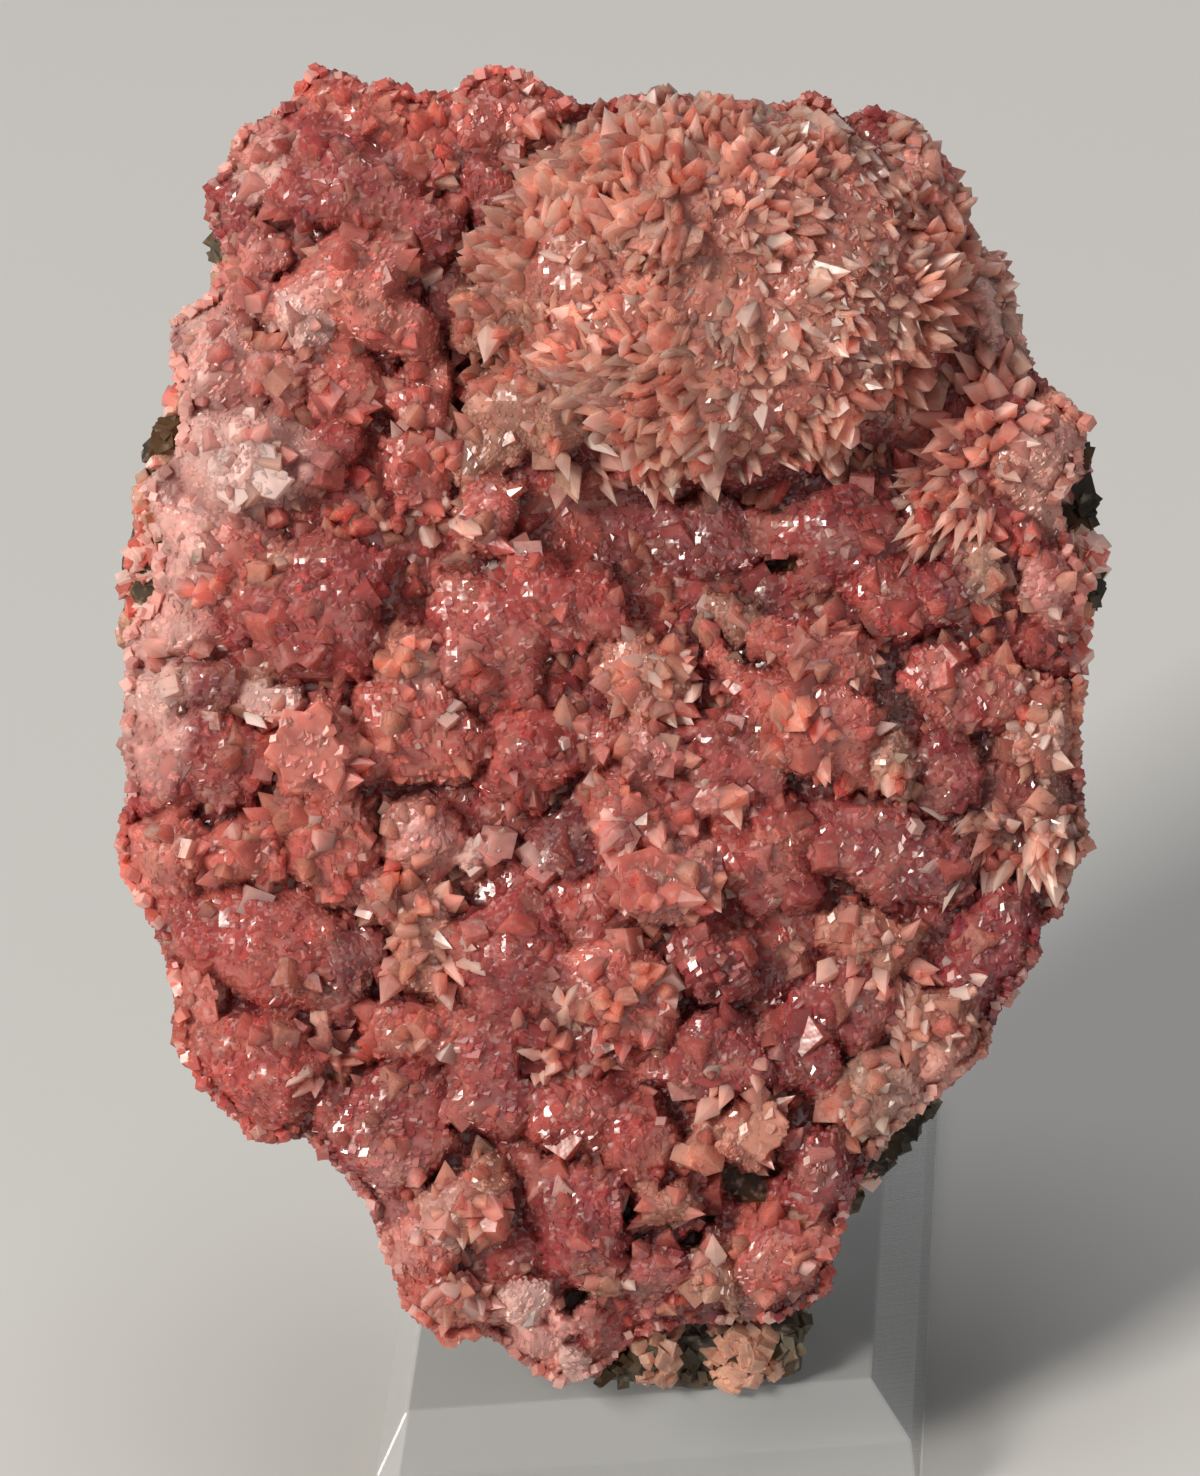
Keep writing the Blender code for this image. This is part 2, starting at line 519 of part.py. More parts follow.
def opening(name, row):
    """A cutter for a hole or a slot, wider at its mouth."""
    u, v, half_u, half_v, floor = row
    bm = bmesh.new()
    rng = random.Random(int(u * 10))
    rings = []
    for w, wide in ((floor, OPENING_FLOOR_SIZE), (OPENING_TOP, OPENING_MOUTH_SIZE)):
        corners = []
        for k in range(OPENING_SIDES):
            angle = 2 * math.pi * k / OPENING_SIDES
            size = wide * rng.uniform(*OPENING_UNEVEN)
            corners.append(bm.verts.new((
                u + half_u * size * math.cos(angle),
                v + half_v * size * math.sin(angle),
                w,
            )))
        rings.append(corners)
    low, high = rings
    bm.faces.new(low)
    bm.faces.new(high)
    for k in range(OPENING_SIDES):
        j = (k + 1) % OPENING_SIDES
        bm.faces.new((low[k], low[j], high[j], high[k]))
    return mesh_object(name, bm)


def guides(name, objects, frame):
    """Keeps the shapes that a Boolean works with, out of the render."""
    group = bpy.data.collections.new(name)
    bpy.context.scene.collection.children.link(group)
    for obj in objects:
        group.objects.link(obj)
        obj.parent = frame
        obj.hide_render = True
        obj.display_type = "WIRE"
    return group


def boolean(obj, name, operation, group):
    change = obj.modifiers.new(name, "BOOLEAN")
    change.operation = operation
    change.operand_type = "COLLECTION"
    change.collection = group
    change.solver = "EXACT"


def calcite_druse(frame):
    """The whole crust: bed, lumps and pointed crystals grown together, with its openings."""
    druse = put(crust_body(), frame, material("calcite", CALCITE_COLOUR, 0.35, 0.1))
    rng = random.Random(5)
    grown = [lump(f"lump_{i}", row, rng) for i, row in enumerate(LUMPS)]
    for i, row in enumerate(SPRAYS):
        grown += spray(f"spray_{i}", row, rng)
    boolean(druse, "grown together", "UNION", guides("growths", grown, frame))
    cutters = [opening(f"opening_{i}", row) for i, row in enumerate(OPENINGS)]
    boolean(druse, "openings", "DIFFERENCE", guides("openings", cutters, frame))
    return druse


def smoothed(points, times):
    """An outline whose points are drawn towards their neighbours."""
    for _ in range(times):
        count = len(points)
        points = [
            points[i] / 2 + points[i - 1] / 4 + points[(i + 1) % count] / 4
            for i in range(count)
        ]
    return points


def rock_layer(edge, times, inset, rng):
    """One layer's outline: smoothed, drawn in and roughened."""
    points = smoothed(edge, times)
    rough = ROCK_JITTER if times else 0.0
    return ring(points, [inset + rng.uniform(-rough, rough) for _ in points])


def rock_slab():
    """The slab behind the crust: rough sides in layers and a flat back."""
    rng = random.Random(3)
    edge = rock_outline()
    count = len(edge)
    bm = bmesh.new()
    rings = []
    for level, times, inset in ROCK_LAYERS:
        rough = ROCK_JITTER if times else 0.0
        rings.append([
            bm.verts.new((p.x, p.y, level + rng.uniform(-rough, rough)))
            for p in rock_layer(edge, times, inset, rng)
        ])
    rings.append([
        bm.verts.new((p.x, p.y, rock_back(p.x, p.y)))
        for p in rock_layer(edge, ROCK_BACK_SMOOTHED, ROCK_BACK_INSET, rng)
    ])
    bm.faces.new(rings[0])
    bm.faces.new(rings[-1])
    for near, far in zip(rings, rings[1:]):
        for i in range(count):
            j = (i + 1) % count
            bm.faces.new((near[i], near[j], far[j], far[i]))
    bmesh.ops.triangulate(bm, faces=bm.faces)
    return mesh_object("rock_matrix", bm)


def crust_foot(u):
    """The height of the crust's lower edge at a given u."""
    for (u1, v1), (u2, v2) in zip(FOOT_EDGE, FOOT_EDGE[1:]):
        if u2 <= u <= u1:
            return v2 + (v1 - v2) * (u - u2) / (u1 - u2)
    return FOOT_EDGE[0][1] if u > FOOT_EDGE[0][0] else FOOT_EDGE[-1][1]


def foot_lump(name, row, rng):
    """A knob of bare rock at the foot, kept clear of the crust above it."""
    u, v, w, half_u, half_v, half_w = row
    bm = bmesh.new()
    for i in range(FOOT_POINTS):
        height = 1.0 - 2.0 * (i + 0.5) / FOOT_POINTS
        around = i * GOLDEN_ANGLE + rng.uniform(-FOOT_TURN_WANDER, FOOT_TURN_WANDER)
        flat = math.sqrt(1.0 - height * height)
        size = rng.uniform(*FOOT_UNEVEN)
        at_u = u + half_u * flat * math.cos(around) * size
        at_v = v + half_v * flat * math.sin(around) * size
        at_v = min(at_v, crust_foot(at_u) - FOOT_CLEARANCE)
        bm.verts.new((at_u, at_v, w + half_w * height * size))
    hull_of(bm)
    return mesh_object(name, bm)


def block(name, low, high):
    """A plain box between two corners, in millimetres."""
    bm = bmesh.new()
    bmesh.ops.create_cube(bm, size=1.0)
    low, high = Vector(low), Vector(high)
    bmesh.ops.scale(bm, vec=high - low, verts=bm.verts)
    bmesh.ops.translate(bm, vec=(low + high) / 2, verts=bm.verts)
    return mesh_object(name, bm)


def rock_matrix(frame):
    """The host rock with its foot, cut level where it stands on the block."""
    rock = put(rock_slab(), frame, material("host_rock", ROCK_COLOUR, 0.8))
    rng = random.Random(9)
    knobs = [foot_lump(f"foot_{i}", row, rng) for i, row in enumerate(FOOT_LUMPS)]
    boolean(rock, "foot", "UNION", guides("foot knobs", knobs, frame))
    low = (-CUT_REACH, BASE_TOP_FRONT - CUT_FRONT, -CUT_DROP)
    level = block("foot_level", low, (CUT_REACH, CUT_REACH, FOOT_LEVEL))
    boolean(rock, "level foot", "DIFFERENCE", guides("foot cut", [level], None))
    return rock


def stand_base(slot):
    """The clear block: a bevel all round its top, mitred at the corners."""
    half_x, half_y = BASE_WIDTH / 2, BASE_DEPTH / 2
    levels = (
        (half_x, half_y, 0.0),
        (half_x, half_y, BASE_HEIGHT - BEVEL_DROP),
        (half_x - BEVEL_RUN, half_y - BEVEL_RUN, BASE_HEIGHT),
    )
    bm = bmesh.new()
    rings = []
    for x, y, z in levels:
        corners = ((-x, -y), (x, -y), (x, y), (-x, y))
        rings.append([bm.verts.new((cx, cy, z)) for cx, cy in corners])
    bm.faces.new(rings[0])
    bm.faces.new(rings[-1])
    for low, high in zip(rings, rings[1:]):
        for i in range(4):
            j = (i + 1) % 4
            bm.faces.new((low[i], low[j], high[j], high[i]))
    base = mesh_object("stand_base", bm)
    bpy.context.scene.collection.objects.link(base)
    base.data.materials.append(slot)
    return base


def stand_rest(slot):
    """The clear plate that the specimen leans on, cut level at its foot."""
    front = FACE_ORIGIN + OUT * rock_back(0.0, 0.0) - REST_NORMAL * BOND
    run = (FOOT_LEVEL - front.z) / REST_UP.z
    foot = Vector((0.0, front.y + REST_UP.y * run, FOOT_LEVEL))
    thick = REST_THICKNESS
    top = foot + REST_UP * REST_LENGTH
    back_top = top - REST_NORMAL * thick
    back_foot = foot - REST_NORMAL * thick
    back_foot += REST_UP * ((FOOT_LEVEL - back_foot.z) / REST_UP.z)
    cut = REST_EDGE_BEVEL
    profile = (
        foot,
        top - REST_UP * cut,
        top - REST_NORMAL * cut,
        back_top + REST_NORMAL * cut,
        back_top - REST_UP * cut,
        back_foot,
    )
    bm = bmesh.new()
    sides = []
    for x in (REST_CENTRE_X - REST_WIDTH / 2, REST_CENTRE_X + REST_WIDTH / 2):
        sides.append([bm.verts.new((x, p.y, p.z)) for p in profile])
    left, right = sides
    bm.faces.new(left)
    bm.faces.new(right)
    for i in range(len(profile)):
        j = (i + 1) % len(profile)
        bm.faces.new((left[i], left[j], right[j], right[i]))
    rest = mesh_object("stand_rest", bm)
    bpy.context.scene.collection.objects.link(rest)
    rest.data.materials.append(slot)
    return rest


def specimen_frame():
    """The empty that carries the specimen at its lean and turn."""
    frame = bpy.data.objects.new("specimen_frame", None)
    bpy.context.scene.collection.objects.link(frame)
    turn = Matrix((RIGHT, UP, OUT)).transposed()
    frame.matrix_world = Matrix.Translation(FACE_ORIGIN * MM) @ turn.to_4x4()
    return frame


def main():
    for obj in list(bpy.data.objects):
        bpy.data.objects.remove(obj)
    frame = specimen_frame()
    calcite_druse(frame)
    rock_matrix(frame)
    acrylic = material("clear_acrylic", ACRYLIC_COLOUR, 0.05, 1.0)
    stand_base(acrylic)
    stand_rest(acrylic)


main()
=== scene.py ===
import math

import bmesh
import bpy
import numpy as np
from mathutils import Matrix, Vector, noise
from mathutils.bvhtree import BVHTree


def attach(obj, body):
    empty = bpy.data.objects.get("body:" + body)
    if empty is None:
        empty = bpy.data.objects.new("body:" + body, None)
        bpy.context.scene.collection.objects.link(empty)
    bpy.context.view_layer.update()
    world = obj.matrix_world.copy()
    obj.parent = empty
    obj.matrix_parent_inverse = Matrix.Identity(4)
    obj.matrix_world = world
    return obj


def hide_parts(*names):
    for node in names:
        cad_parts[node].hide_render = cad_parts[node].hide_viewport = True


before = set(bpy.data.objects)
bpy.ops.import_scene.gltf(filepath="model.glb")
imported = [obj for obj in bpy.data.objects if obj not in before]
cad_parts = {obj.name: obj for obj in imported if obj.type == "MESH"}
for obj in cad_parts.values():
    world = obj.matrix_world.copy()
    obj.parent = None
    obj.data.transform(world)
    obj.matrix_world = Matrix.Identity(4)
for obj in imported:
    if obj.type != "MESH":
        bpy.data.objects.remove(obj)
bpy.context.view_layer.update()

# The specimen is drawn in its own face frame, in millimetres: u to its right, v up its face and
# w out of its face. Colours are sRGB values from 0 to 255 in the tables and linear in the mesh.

MM = 0.001
GOLDEN_ANGLE = math.pi * (3.0 - math.sqrt(5.0))

# How the specimen's face is turned, degrees, and the face frame's place in the room, mm
FACE_TURN = 7.3
FACE_LEAN = 28.0
FACE_ROLL = 8.0
TIP_IN_ROOM = (7.05, -26.8, 9.8)
TIP_IN_FACE = (8.67, 0.0, -2.6)
FOOT_LEVEL = 9.8

# Levels across the specimen's thickness, mm along w
CRUST_BACK = -4.0
CRUST_RIM = -2.2
CRUST_BED = 0.6
RIM_FALL = 2.2
# The least thickness of the crust, the levels its rim may take, and how low crystals may reach
LEAST_CRUST = 0.25
RIM_LEVELS = (CRUST_RIM - 0.3, 0.0)
CRYSTAL_FOOT = CRUST_BACK + 0.1
# How far from the edge the crust is rounded off, mm, and what share of its rise is left there
RIM_ROUNDING = 1.4
RIM_KEEPS = 0.55
RIM_GAINS = 0.45

# The specimen's outline seen from the front, clockwise from the top left, mm
OUTLINE = (
    (-20.7, 88.3), (-19.7, 89.3), (-18.0, 88.9), (-16.3, 87.8), (-14.7, 88.3), (-13.0, 87.4),
    (-10.4, 87.3), (-9.5, 88.4), (-8.0, 89.3), (-6.2, 89.0), (-4.0, 87.7), (-2.0, 86.7),
    (0.0, 86.9), (3.3, 87.5), (6.5, 86.8), (9.3, 86.6), (12.0, 86.8), (13.2, 87.5),
    (14.4, 87.1), (15.2, 85.7), (17.5, 86.3), (19.3, 85.8), (20.3, 84.7), (22.0, 83.3),
    (23.6, 80.8), (23.8, 79.0), (24.5, 77.3), (26.2, 76.3), (26.7, 74.8), (26.7, 73.0),
    (27.5, 71.0), (28.5, 68.5), (30.0, 67.3), (31.9, 65.6), (32.1, 63.0), (32.3, 60.5),
    (33.0, 57.5), (33.1, 55.0), (32.8, 53.0), (32.2, 51.0), (31.6, 48.0), (31.2, 45.0),
    (31.4, 42.0), (31.6, 39.5), (31.9, 37.4), (30.8, 35.5), (30.1, 32.8), (28.6, 32.0),
    (28.5, 29.5), (27.2, 26.8), (25.6, 25.2), (25.0, 23.5), (23.4, 21.7), (20.5, 18.0),
    (18.5, 15.8), (16.8, 13.8), (15.4, 11.8), (14.9, 10.0), (14.6, 7.6), (13.5, 6.4),
    (13.3, 4.2), (12.4, 2.2), (10.9, 0.9), (9.5, 0.3), (8.2, 0.0), (6.5, 0.5),
    (4.5, 0.9), (2.0, 1.0), (-0.5, 1.1), (-3.3, 1.2), (-4.8, 2.2), (-6.0, 2.9),
    (-7.3, 4.3), (-9.0, 4.8), (-10.8, 4.2), (-12.2, 5.3), (-13.6, 6.6), (-14.3, 9.0),
    (-15.2, 11.0), (-15.7, 12.8), (-16.8, 14.5), (-18.5, 16.2), (-20.5, 18.2), (-22.5, 17.5),
    (-24.0, 18.1), (-25.3, 19.5), (-27.3, 21.6), (-28.6, 23.5), (-28.9, 26.0), (-29.2, 29.0),
    (-30.0, 31.2), (-31.2, 33.5), (-32.3, 35.3), (-32.9, 37.4), (-32.4, 39.4), (-31.9, 41.0),
    (-32.4, 44.0), (-32.3, 47.0), (-32.2, 49.5), (-33.1, 51.5), (-32.8, 54.2), (-33.0, 56.5),
    (-32.0, 58.4), (-31.7, 61.5), (-30.9, 64.0), (-29.8, 67.0), (-29.2, 70.0), (-29.2, 72.4),
    (-28.3, 73.2), (-26.9, 73.7), (-27.1, 76.5), (-26.9, 79.0), (-26.8, 81.2), (-25.5, 82.8),
    (-24.6, 85.0), (-22.5, 86.0), (-21.2, 87.0),
)

# Where bare rock shows past the crust: centre u and v, reach, how far the crust draws back, mm
BARE_ROCK = (
    (-33.0, 56.5, 6.0, 2.6), (-31.0, 65.5, 3.0, 2.4), (-27.2, 76.6, 2.6, 1.8),
    (32.6, 59.0, 5.0, 2.4), (32.2, 51.5, 3.0, 2.0), (27.5, 27.0, 3.0, 0.9),
    (20.0, 17.0, 6.5, 1.3),
)
DRAW_BACK_STEEPNESS = 1.8
# The crust's own lower edge, above the bare foot
FOOT_EDGE = (
    (12.8, 6.4), (11.3, 5.6), (9.5, 5.8), (7.4, 5.4), (5.4, 5.4), (3.4, 5.0), (1.6, 4.5),
    (0.3, 3.1), (-0.9, 2.0),
)
FOOT_FROM = (13.5, 6.4)
FOOT_TO = (-3.3, 1.2)
CRUST_INSET = -0.1

# Broad swells and hollows of the crust: centre u and v, reach along u and v, height, mm
SWELLS = (
    (7.3, 75.0, 16.5, 14.0, 5.2), (26.0, 58.0, 7.0, 10.0, 1.0), (14.0, 47.5, 8.0, 9.0, 1.8),
    (2.0, 32.0, 12.0, 10.0, 1.4), (-21.0, 50.0, 10.0, 15.0, 1.4), (-23.5, 22.5, 6.5, 5.5, 1.2),
    (-10.0, 70.0, 4.5, 6.5, -2.2), (3.5, 58.5, 9.0, 3.6, -1.8), (10.0, 13.0, 5.0, 4.0, -1.2),
    (-16.5, 77.0, 7.0, 9.0, 1.2), (-3.0, 38.0, 4.0, 3.5, -1.4), (27.5, 33.5, 4.0, 2.5, -1.0),
    (16.5, 71.0, 6.0, 8.0, 1.5), (-9.0, 10.0, 6.0, 6.0, 0.8),
)
# Below 1, a swell is flatter on top and steeper at its edge
SWELL_POWER = 0.8

# Tones of the calcite, sRGB, with how frosted each one is
TONES = {
    "salmon": (204, 104, 92, 0.35),
    "bright": (226, 129, 115, 0.55),
    "carmine": (178, 73, 69, 0.05),
    "mauve": (150, 60, 63, 0.0),
    "raspberry": (138, 44, 56, 0.0),
    "dark": (104, 49, 57, 0.0),
    "peach": (208, 139, 117, 0.35),
    "pink": (218, 139, 129, 0.55),
    "frosted": (234, 196, 186, 0.8),
    "beige": (191, 146, 124, 0.25),
    "limonite": (74, 44, 20, 0.3),
}

# Lumps of fine crystals: centre u and v, half width and half height, turn in degrees, rise, mm,
# tone, and the size of the crystals that cover it, mm
LUMPS = (
    (-17.0, 86.0, 3.9, 2.7, 5, 2.2, "salmon", 0.5),
    (-22.3, 84.2, 2.2, 1.7, 20, 1.8, "salmon", 0.45),
    (-24.7, 80.3, 2.0, 1.8, 0, 1.7, "raspberry", 0.5),
    (-23.0, 77.2, 2.9, 1.9, 10, 1.8, "pink", 0.35),
    (-15.8, 81.0, 4.6, 3.4, -20, 2.4, "mauve", 0.6),
    (-11.9, 83.6, 2.9, 2.5, 0, 2.0, "salmon", 0.45),
    (-8.0, 86.2, 3.5, 2.8, 10, 2.3, "salmon", 0.45),
    (-16.6, 74.6, 3.0, 3.8, 20, 2.8, "bright", 0.4),
    (-20.1, 72.5, 1.8, 2.6, 0, 2.0, "frosted", 0.4),
    (-25.8, 69.2, 3.3, 3.6, 15, 2.2, "pink", 0.45),
    (-21.8, 69.0, 2.3, 2.1, 0, 2.1, "salmon", 0.45),
    (-18.2, 68.0, 2.4, 3.1, 0, 2.3, "salmon", 0.45),
    (-24.0, 62.3, 4.0, 3.4, -15, 2.4, "frosted", 0.4),
    (-25.5, 56.7, 3.3, 2.8, 0, 2.6, "salmon", 0.55),
    (-29.6, 59.8, 1.5, 2.8, 10, 1.7, "frosted", 0.35),
    (-19.2, 53.2, 5.0, 4.1, -10, 2.9, "mauve", 0.75),
    (-13.5, 66.8, 2.6, 2.1, 0, 2.1, "salmon", 0.45),
    (-13.2, 62.8, 2.6, 2.6, 10, 2.5, "salmon", 0.4),
    (-8.2, 59.3, 2.7, 2.2, 0, 2.3, "salmon", 0.4),
    (-8.3, 81.0, 2.6, 2.8, 0, 1.6, "mauve", 0.5),
    (-3.2, 67.2, 3.3, 2.8, 35, 2.6, "beige", 0.35),
    (-29.4, 37.2, 2.6, 3.0, 0, 2.6, "bright", 0.5),
    (-29.2, 46.8, 1.6, 2.9, 5, 2.0, "frosted", 0.4),
    (-26.4, 43.0, 3.6, 2.8, 0, 1.9, "mauve", 0.6),
    (-20.0, 44.0, 2.8, 3.2, 10, 3.2, "bright", 0.3),
    (-13.0, 44.9, 4.2, 3.5, 10, 2.8, "salmon", 0.55),
    (-8.6, 51.2, 4.2, 3.6, 0, 2.4, "carmine", 0.6),
    (-3.6, 53.6, 3.6, 3.2, -20, 2.8, "carmine", 0.6),
    (-5.8, 43.8, 3.2, 3.0, 0, 3.0, "carmine", 0.7),
    (-24.6, 37.2, 2.6, 2.3, 20, 2.0, "salmon", 0.55),
    (-19.3, 38.3, 3.3, 2.9, 0, 2.3, "salmon", 0.45),
    (-12.8, 37.6, 2.9, 2.3, 0, 2.4, "pink", 0.5),
    (-2.8, 36.6, 2.9, 2.6, 0, 1.5, "dark", 0.5),
    (-22.6, 30.6, 4.4, 4.2, 0, 2.9, "carmine", 0.5),
    (-18.1, 29.2, 2.2, 3.2, 0, 2.0, "dark", 0.5),
    (-27.4, 27.4, 1.7, 3.0, 10, 1.9, "bright", 0.35),
    (-12.1, 31.4, 2.6, 3.0, 0, 2.0, "peach", 0.5),
    (-6.4, 29.6, 3.8, 4.2, 0, 2.2, "mauve", 0.55),
    (2.6, 48.4, 3.4, 2.9, 0, 2.4, "peach", 0.5),
    (3.1, 43.6, 2.9, 2.6, 0, 2.5, "pink", 0.5),
    (2.2, 38.8, 3.0, 2.4, -10, 2.3, "salmon", 0.45),
    (6.9, 56.6, 3.6, 3.2, 0, 1.4, "dark", 0.55),
    (14.3, 57.2, 4.0, 4.0, 0, 2.7, "mauve", 0.6),
    (18.6, 54.0, 3.0, 2.8, 0, 2.1, "carmine", 0.5),
    (29.8, 54.4, 2.9, 2.1, -15, 2.4, "pink", 0.45),
    (13.5, 45.6, 3.3, 3.7, 0, 2.6, "salmon", 0.4),
    (13.8, 50.2, 3.5, 1.6, -8, 2.7, "salmon", 0.4),
    (21.6, 48.2, 3.4, 2.7, -20, 2.3, "carmine", 0.5),
    (8.6, 42.8, 3.2, 3.3, 0, 1.9, "mauve", 0.55),
    (6.8, 40.4, 2.0, 2.0, 0, 2.2, "pink", 0.6),
    (10.3, 36.6, 3.9, 3.3, 0, 2.4, "carmine", 0.55),
    (3.6, 34.6, 3.1, 2.6, 0, 3.0, "pink", 0.35),
    (6.8, 29.5, 2.4, 2.9, 0, 2.6, "mauve", 0.65),
    (16.6, 37.6, 4.2, 3.0, 0, 2.1, "mauve", 0.65),
    (17.6, 31.0, 2.9, 2.0, 0, 2.0, "peach", 0.5),
    (21.2, 36.0, 2.8, 2.5, 20, 1.8, "dark", 0.5),
    (25.3, 30.2, 3.2, 3.2, 0, 2.3, "raspberry", 0.6),
    (28.4, 44.6, 2.5, 3.2, 0, 1.9, "peach", 0.45),
    (28.6, 62.8, 3.0, 3.0, 0, 2.0, "peach", 0.45),
    (25.2, 72.8, 1.9, 2.9, 15, 1.8, "frosted", 0.4),
    (21.0, 81.0, 2.8, 2.6, -40, 1.9, "pink", 0.4),
    (17.6, 84.5, 2.2, 1.7, 0, 1.7, "mauve", 0.4),
    (-23.5, 22.2, 4.1, 3.8, 0, 2.7, "carmine", 0.5),
    (-14.4, 18.5, 3.4, 3.8, 0, 2.5, "mauve", 0.55),
    (-12.5, 25.2, 2.8, 2.1, 0, 2.2, "salmon", 0.45),
    (-8.5, 22.4, 3.0, 3.3, 0, 2.2, "mauve", 0.6),
    (-9.1, 13.1, 2.5, 2.3, 0, 2.6, "peach", 0.35),
    (-12.4, 10.4, 2.4, 2.0, 0, 2.0, "salmon", 0.45),
    (-11.0, 6.9, 2.4, 2.0, 0, 2.0, "salmon", 0.45),
    (-5.4, 6.7, 1.9, 1.6, 0, 1.9, "frosted", 0.45),
    (-4.4, 4.0, 1.7, 1.5, 0, 1.6, "pink", 0.45),
    (-2.0, 12.8, 3.6, 3.3, 0, 2.6, "mauve", 0.6),
    (-2.4, 19.3, 3.3, 2.6, 0, 2.2, "carmine", 0.5),
    (0.8, 27.6, 3.5, 2.9, 0, 2.4, "salmon", 0.4),
    (6.4, 23.4, 4.1, 2.9, -10, 2.6, "mauve", 0.4),
    (9.4, 18.6, 2.8, 2.2, 15, 2.7, "peach", 0.35),
    (12.3, 24.0, 2.8, 2.8, 0, 2.2, "mauve", 0.5),
    (16.4, 27.0, 3.2, 2.8, 0, 2.1, "mauve", 0.5),
    (17.0, 20.8, 3.2, 2.4, 0, 2.0, "beige", 0.45),
    (22.0, 25.4, 3.0, 2.7, -30, 2.0, "peach", 0.45),
    (13.4, 15.9, 2.6, 3.0, 0, 2.3, "mauve", 0.5),
    (11.6, 10.3, 2.7, 3.1, -35, 2.6, "salmon", 0.45),
    (1.9, 18.0, 2.6, 2.7, 0, 2.1, "carmine", 0.5),
    (2.4, 8.8, 2.8, 1.9, 0, 2.0, "mauve", 0.5),
    (7.2, 8.4, 2.2, 1.8, 0, 1.9, "beige", 0.45),
    (-23.8, 84.8, 1.2, 0.9, 0, 1.6, "frosted", 0.35),
    (-22.0, 81.6, 1.8, 1.4, 0, 1.5, "frosted", 0.4),
    (-26.0, 75.8, 0.9, 1.6, 0, 1.2, "beige", 0.35),
    (-14.4, 72.0, 1.8, 2.0, 0, 1.9, "bright", 0.35),
    (-22.6, 73.8, 2.0, 1.4, 0, 1.6, "pink", 0.4),
    (-28.0, 72.0, 1.3, 1.1, 0, 1.2, "frosted", 0.35),
    (-19.0, 63.0, 2.0, 2.0, 0, 1.7, "mauve", 0.6),
    (-21.4, 56.7, 1.6, 1.2, 0, 1.7, "peach", 0.35),
    (-29.8, 55.0, 1.2, 2.2, 0, 1.5, "frosted", 0.35),
    (-27.0, 51.8, 2.4, 1.8, 0, 1.7, "mauve", 0.5),
    (-8.5, 63.3, 2.2, 2.0, 0, 1.6, "beige", 0.45),
    (-22.3, 47.2, 1.6, 1.2, 0, 2.0, "frosted", 0.35),
    (-13.8, 49.8, 2.4, 1.6, 0, 1.9, "peach", 0.45),
    (-8.8, 36.8, 1.4, 1.2, 0, 1.6, "frosted", 0.4),
    (-27.8, 32.5, 1.8, 1.8, 0, 1.5, "beige", 0.4),
    (-14.8, 34.0, 2.0, 1.8, 0, 1.8, "pink", 0.4),
    (-1.2, 44.3, 2.0, 1.8, 0, 1.9, "salmon", 0.4),
    (8.3, 52.5, 1.2, 1.2, 0, 1.6, "beige", 0.3),
    (22.3, 54.5, 2.2, 2.0, 0, 1.5, "raspberry", 0.5),
    (24.4, 55.5, 1.3, 2.0, 0, 1.5, "beige", 0.35),
    (18.5, 42.5, 1.6, 1.8, 0, 1.7, "beige", 0.4),
    (21.8, 42.3, 2.4, 2.6, 0, 1.5, "mauve", 0.5),
    (26.0, 47.4, 2.2, 2.0, 0, 1.8, "salmon", 0.45),
    (28.8, 50.5, 1.8, 1.4, 0, 1.3, "mauve", 0.4),
    (30.0, 62.0, 1.5, 2.0, 0, 1.4, "pink", 0.4),
    (22.6, 79.4, 1.4, 1.6, 0, 1.3, "raspberry", 0.45),
    (19.0, 84.6, 1.2, 1.0, 0, 1.3, "frosted", 0.35),
    (-18.6, 20.0, 1.3, 1.3, 0, 1.6, "carmine", 0.4),
    (-17.0, 17.6, 1.0, 1.2, 0, 1.4, "frosted", 0.35),
    (-10.3, 11.6, 1.4, 1.2, 0, 1.8, "frosted", 0.4),
    (-7.4, 6.2, 1.4, 1.1, 0, 1.5, "pink", 0.4),
    (-2.5, 5.7, 1.4, 1.2, 0, 1.5, "pink", 0.4),
    (-3.0, 2.7, 1.2, 0.8, 0, 1.2, "frosted", 0.35),
    (-0.3, 8.2, 1.4, 1.3, 0, 1.7, "beige", 0.4),
    (6.2, 16.8, 1.6, 1.2, 0, 1.9, "peach", 0.35),
    (3.6, 13.6, 1.6, 1.8, 0, 1.7, "peach", 0.45),
    (10.5, 6.9, 1.4, 1.0, 0, 1.3, "dark", 0.45),
    (-13.0, 78.2, 2.4, 1.6, 0, 1.8, "raspberry", 0.5),
    (-10.6, 75.0, 2.6, 3.0, 0, 1.0, "dark", 0.55),
    (-6.0, 72.6, 2.2, 1.8, 0, 1.6, "beige", 0.5),
    (29.0, 38.5, 1.4, 1.8, 0, 1.2, "beige", 0.4),
    (-26.0, 47.6, 1.6, 1.8, 0, 1.3, "dark", 0.45),
)
LUMP_SPREAD = 1.26
LUMP_DEPTH = 1.25
LUMP_SUNK = 0.25
DOME_PLANES = 9
# How far out a lump's planes are worked out, in its half widths
LUMP_REACH = 1.7
# The planes' heights over the ellipsoid: the first one's share of a step, and the whole fall
DOME_FIRST = 0.4
DOME_DROP = 0.86
# How far a plane wanders round the lump, radians, and the range of its distance from the middle
DOME_WANDER = 0.4
DOME_CUT = (0.76, 1.0)
# How far the lumps' outlines are pulled about, and over what distance, mm
WARP = 0.9
WARP_PITCH = 3.1
FINE_WARP = 0.3
FINE_WARP_PITCH = 1.1

# Low humps of the crust between its lumps: pitch, mm, height, reach in pitches, the level that
# they start from and the rise over which they grow, mm
HUMP_PITCH = 2.4
HUMP_HEIGHT = 0.55
HUMP_REACH = 0.75
HUMPS_FROM = -1.8
HUMPS_OVER = 2.0
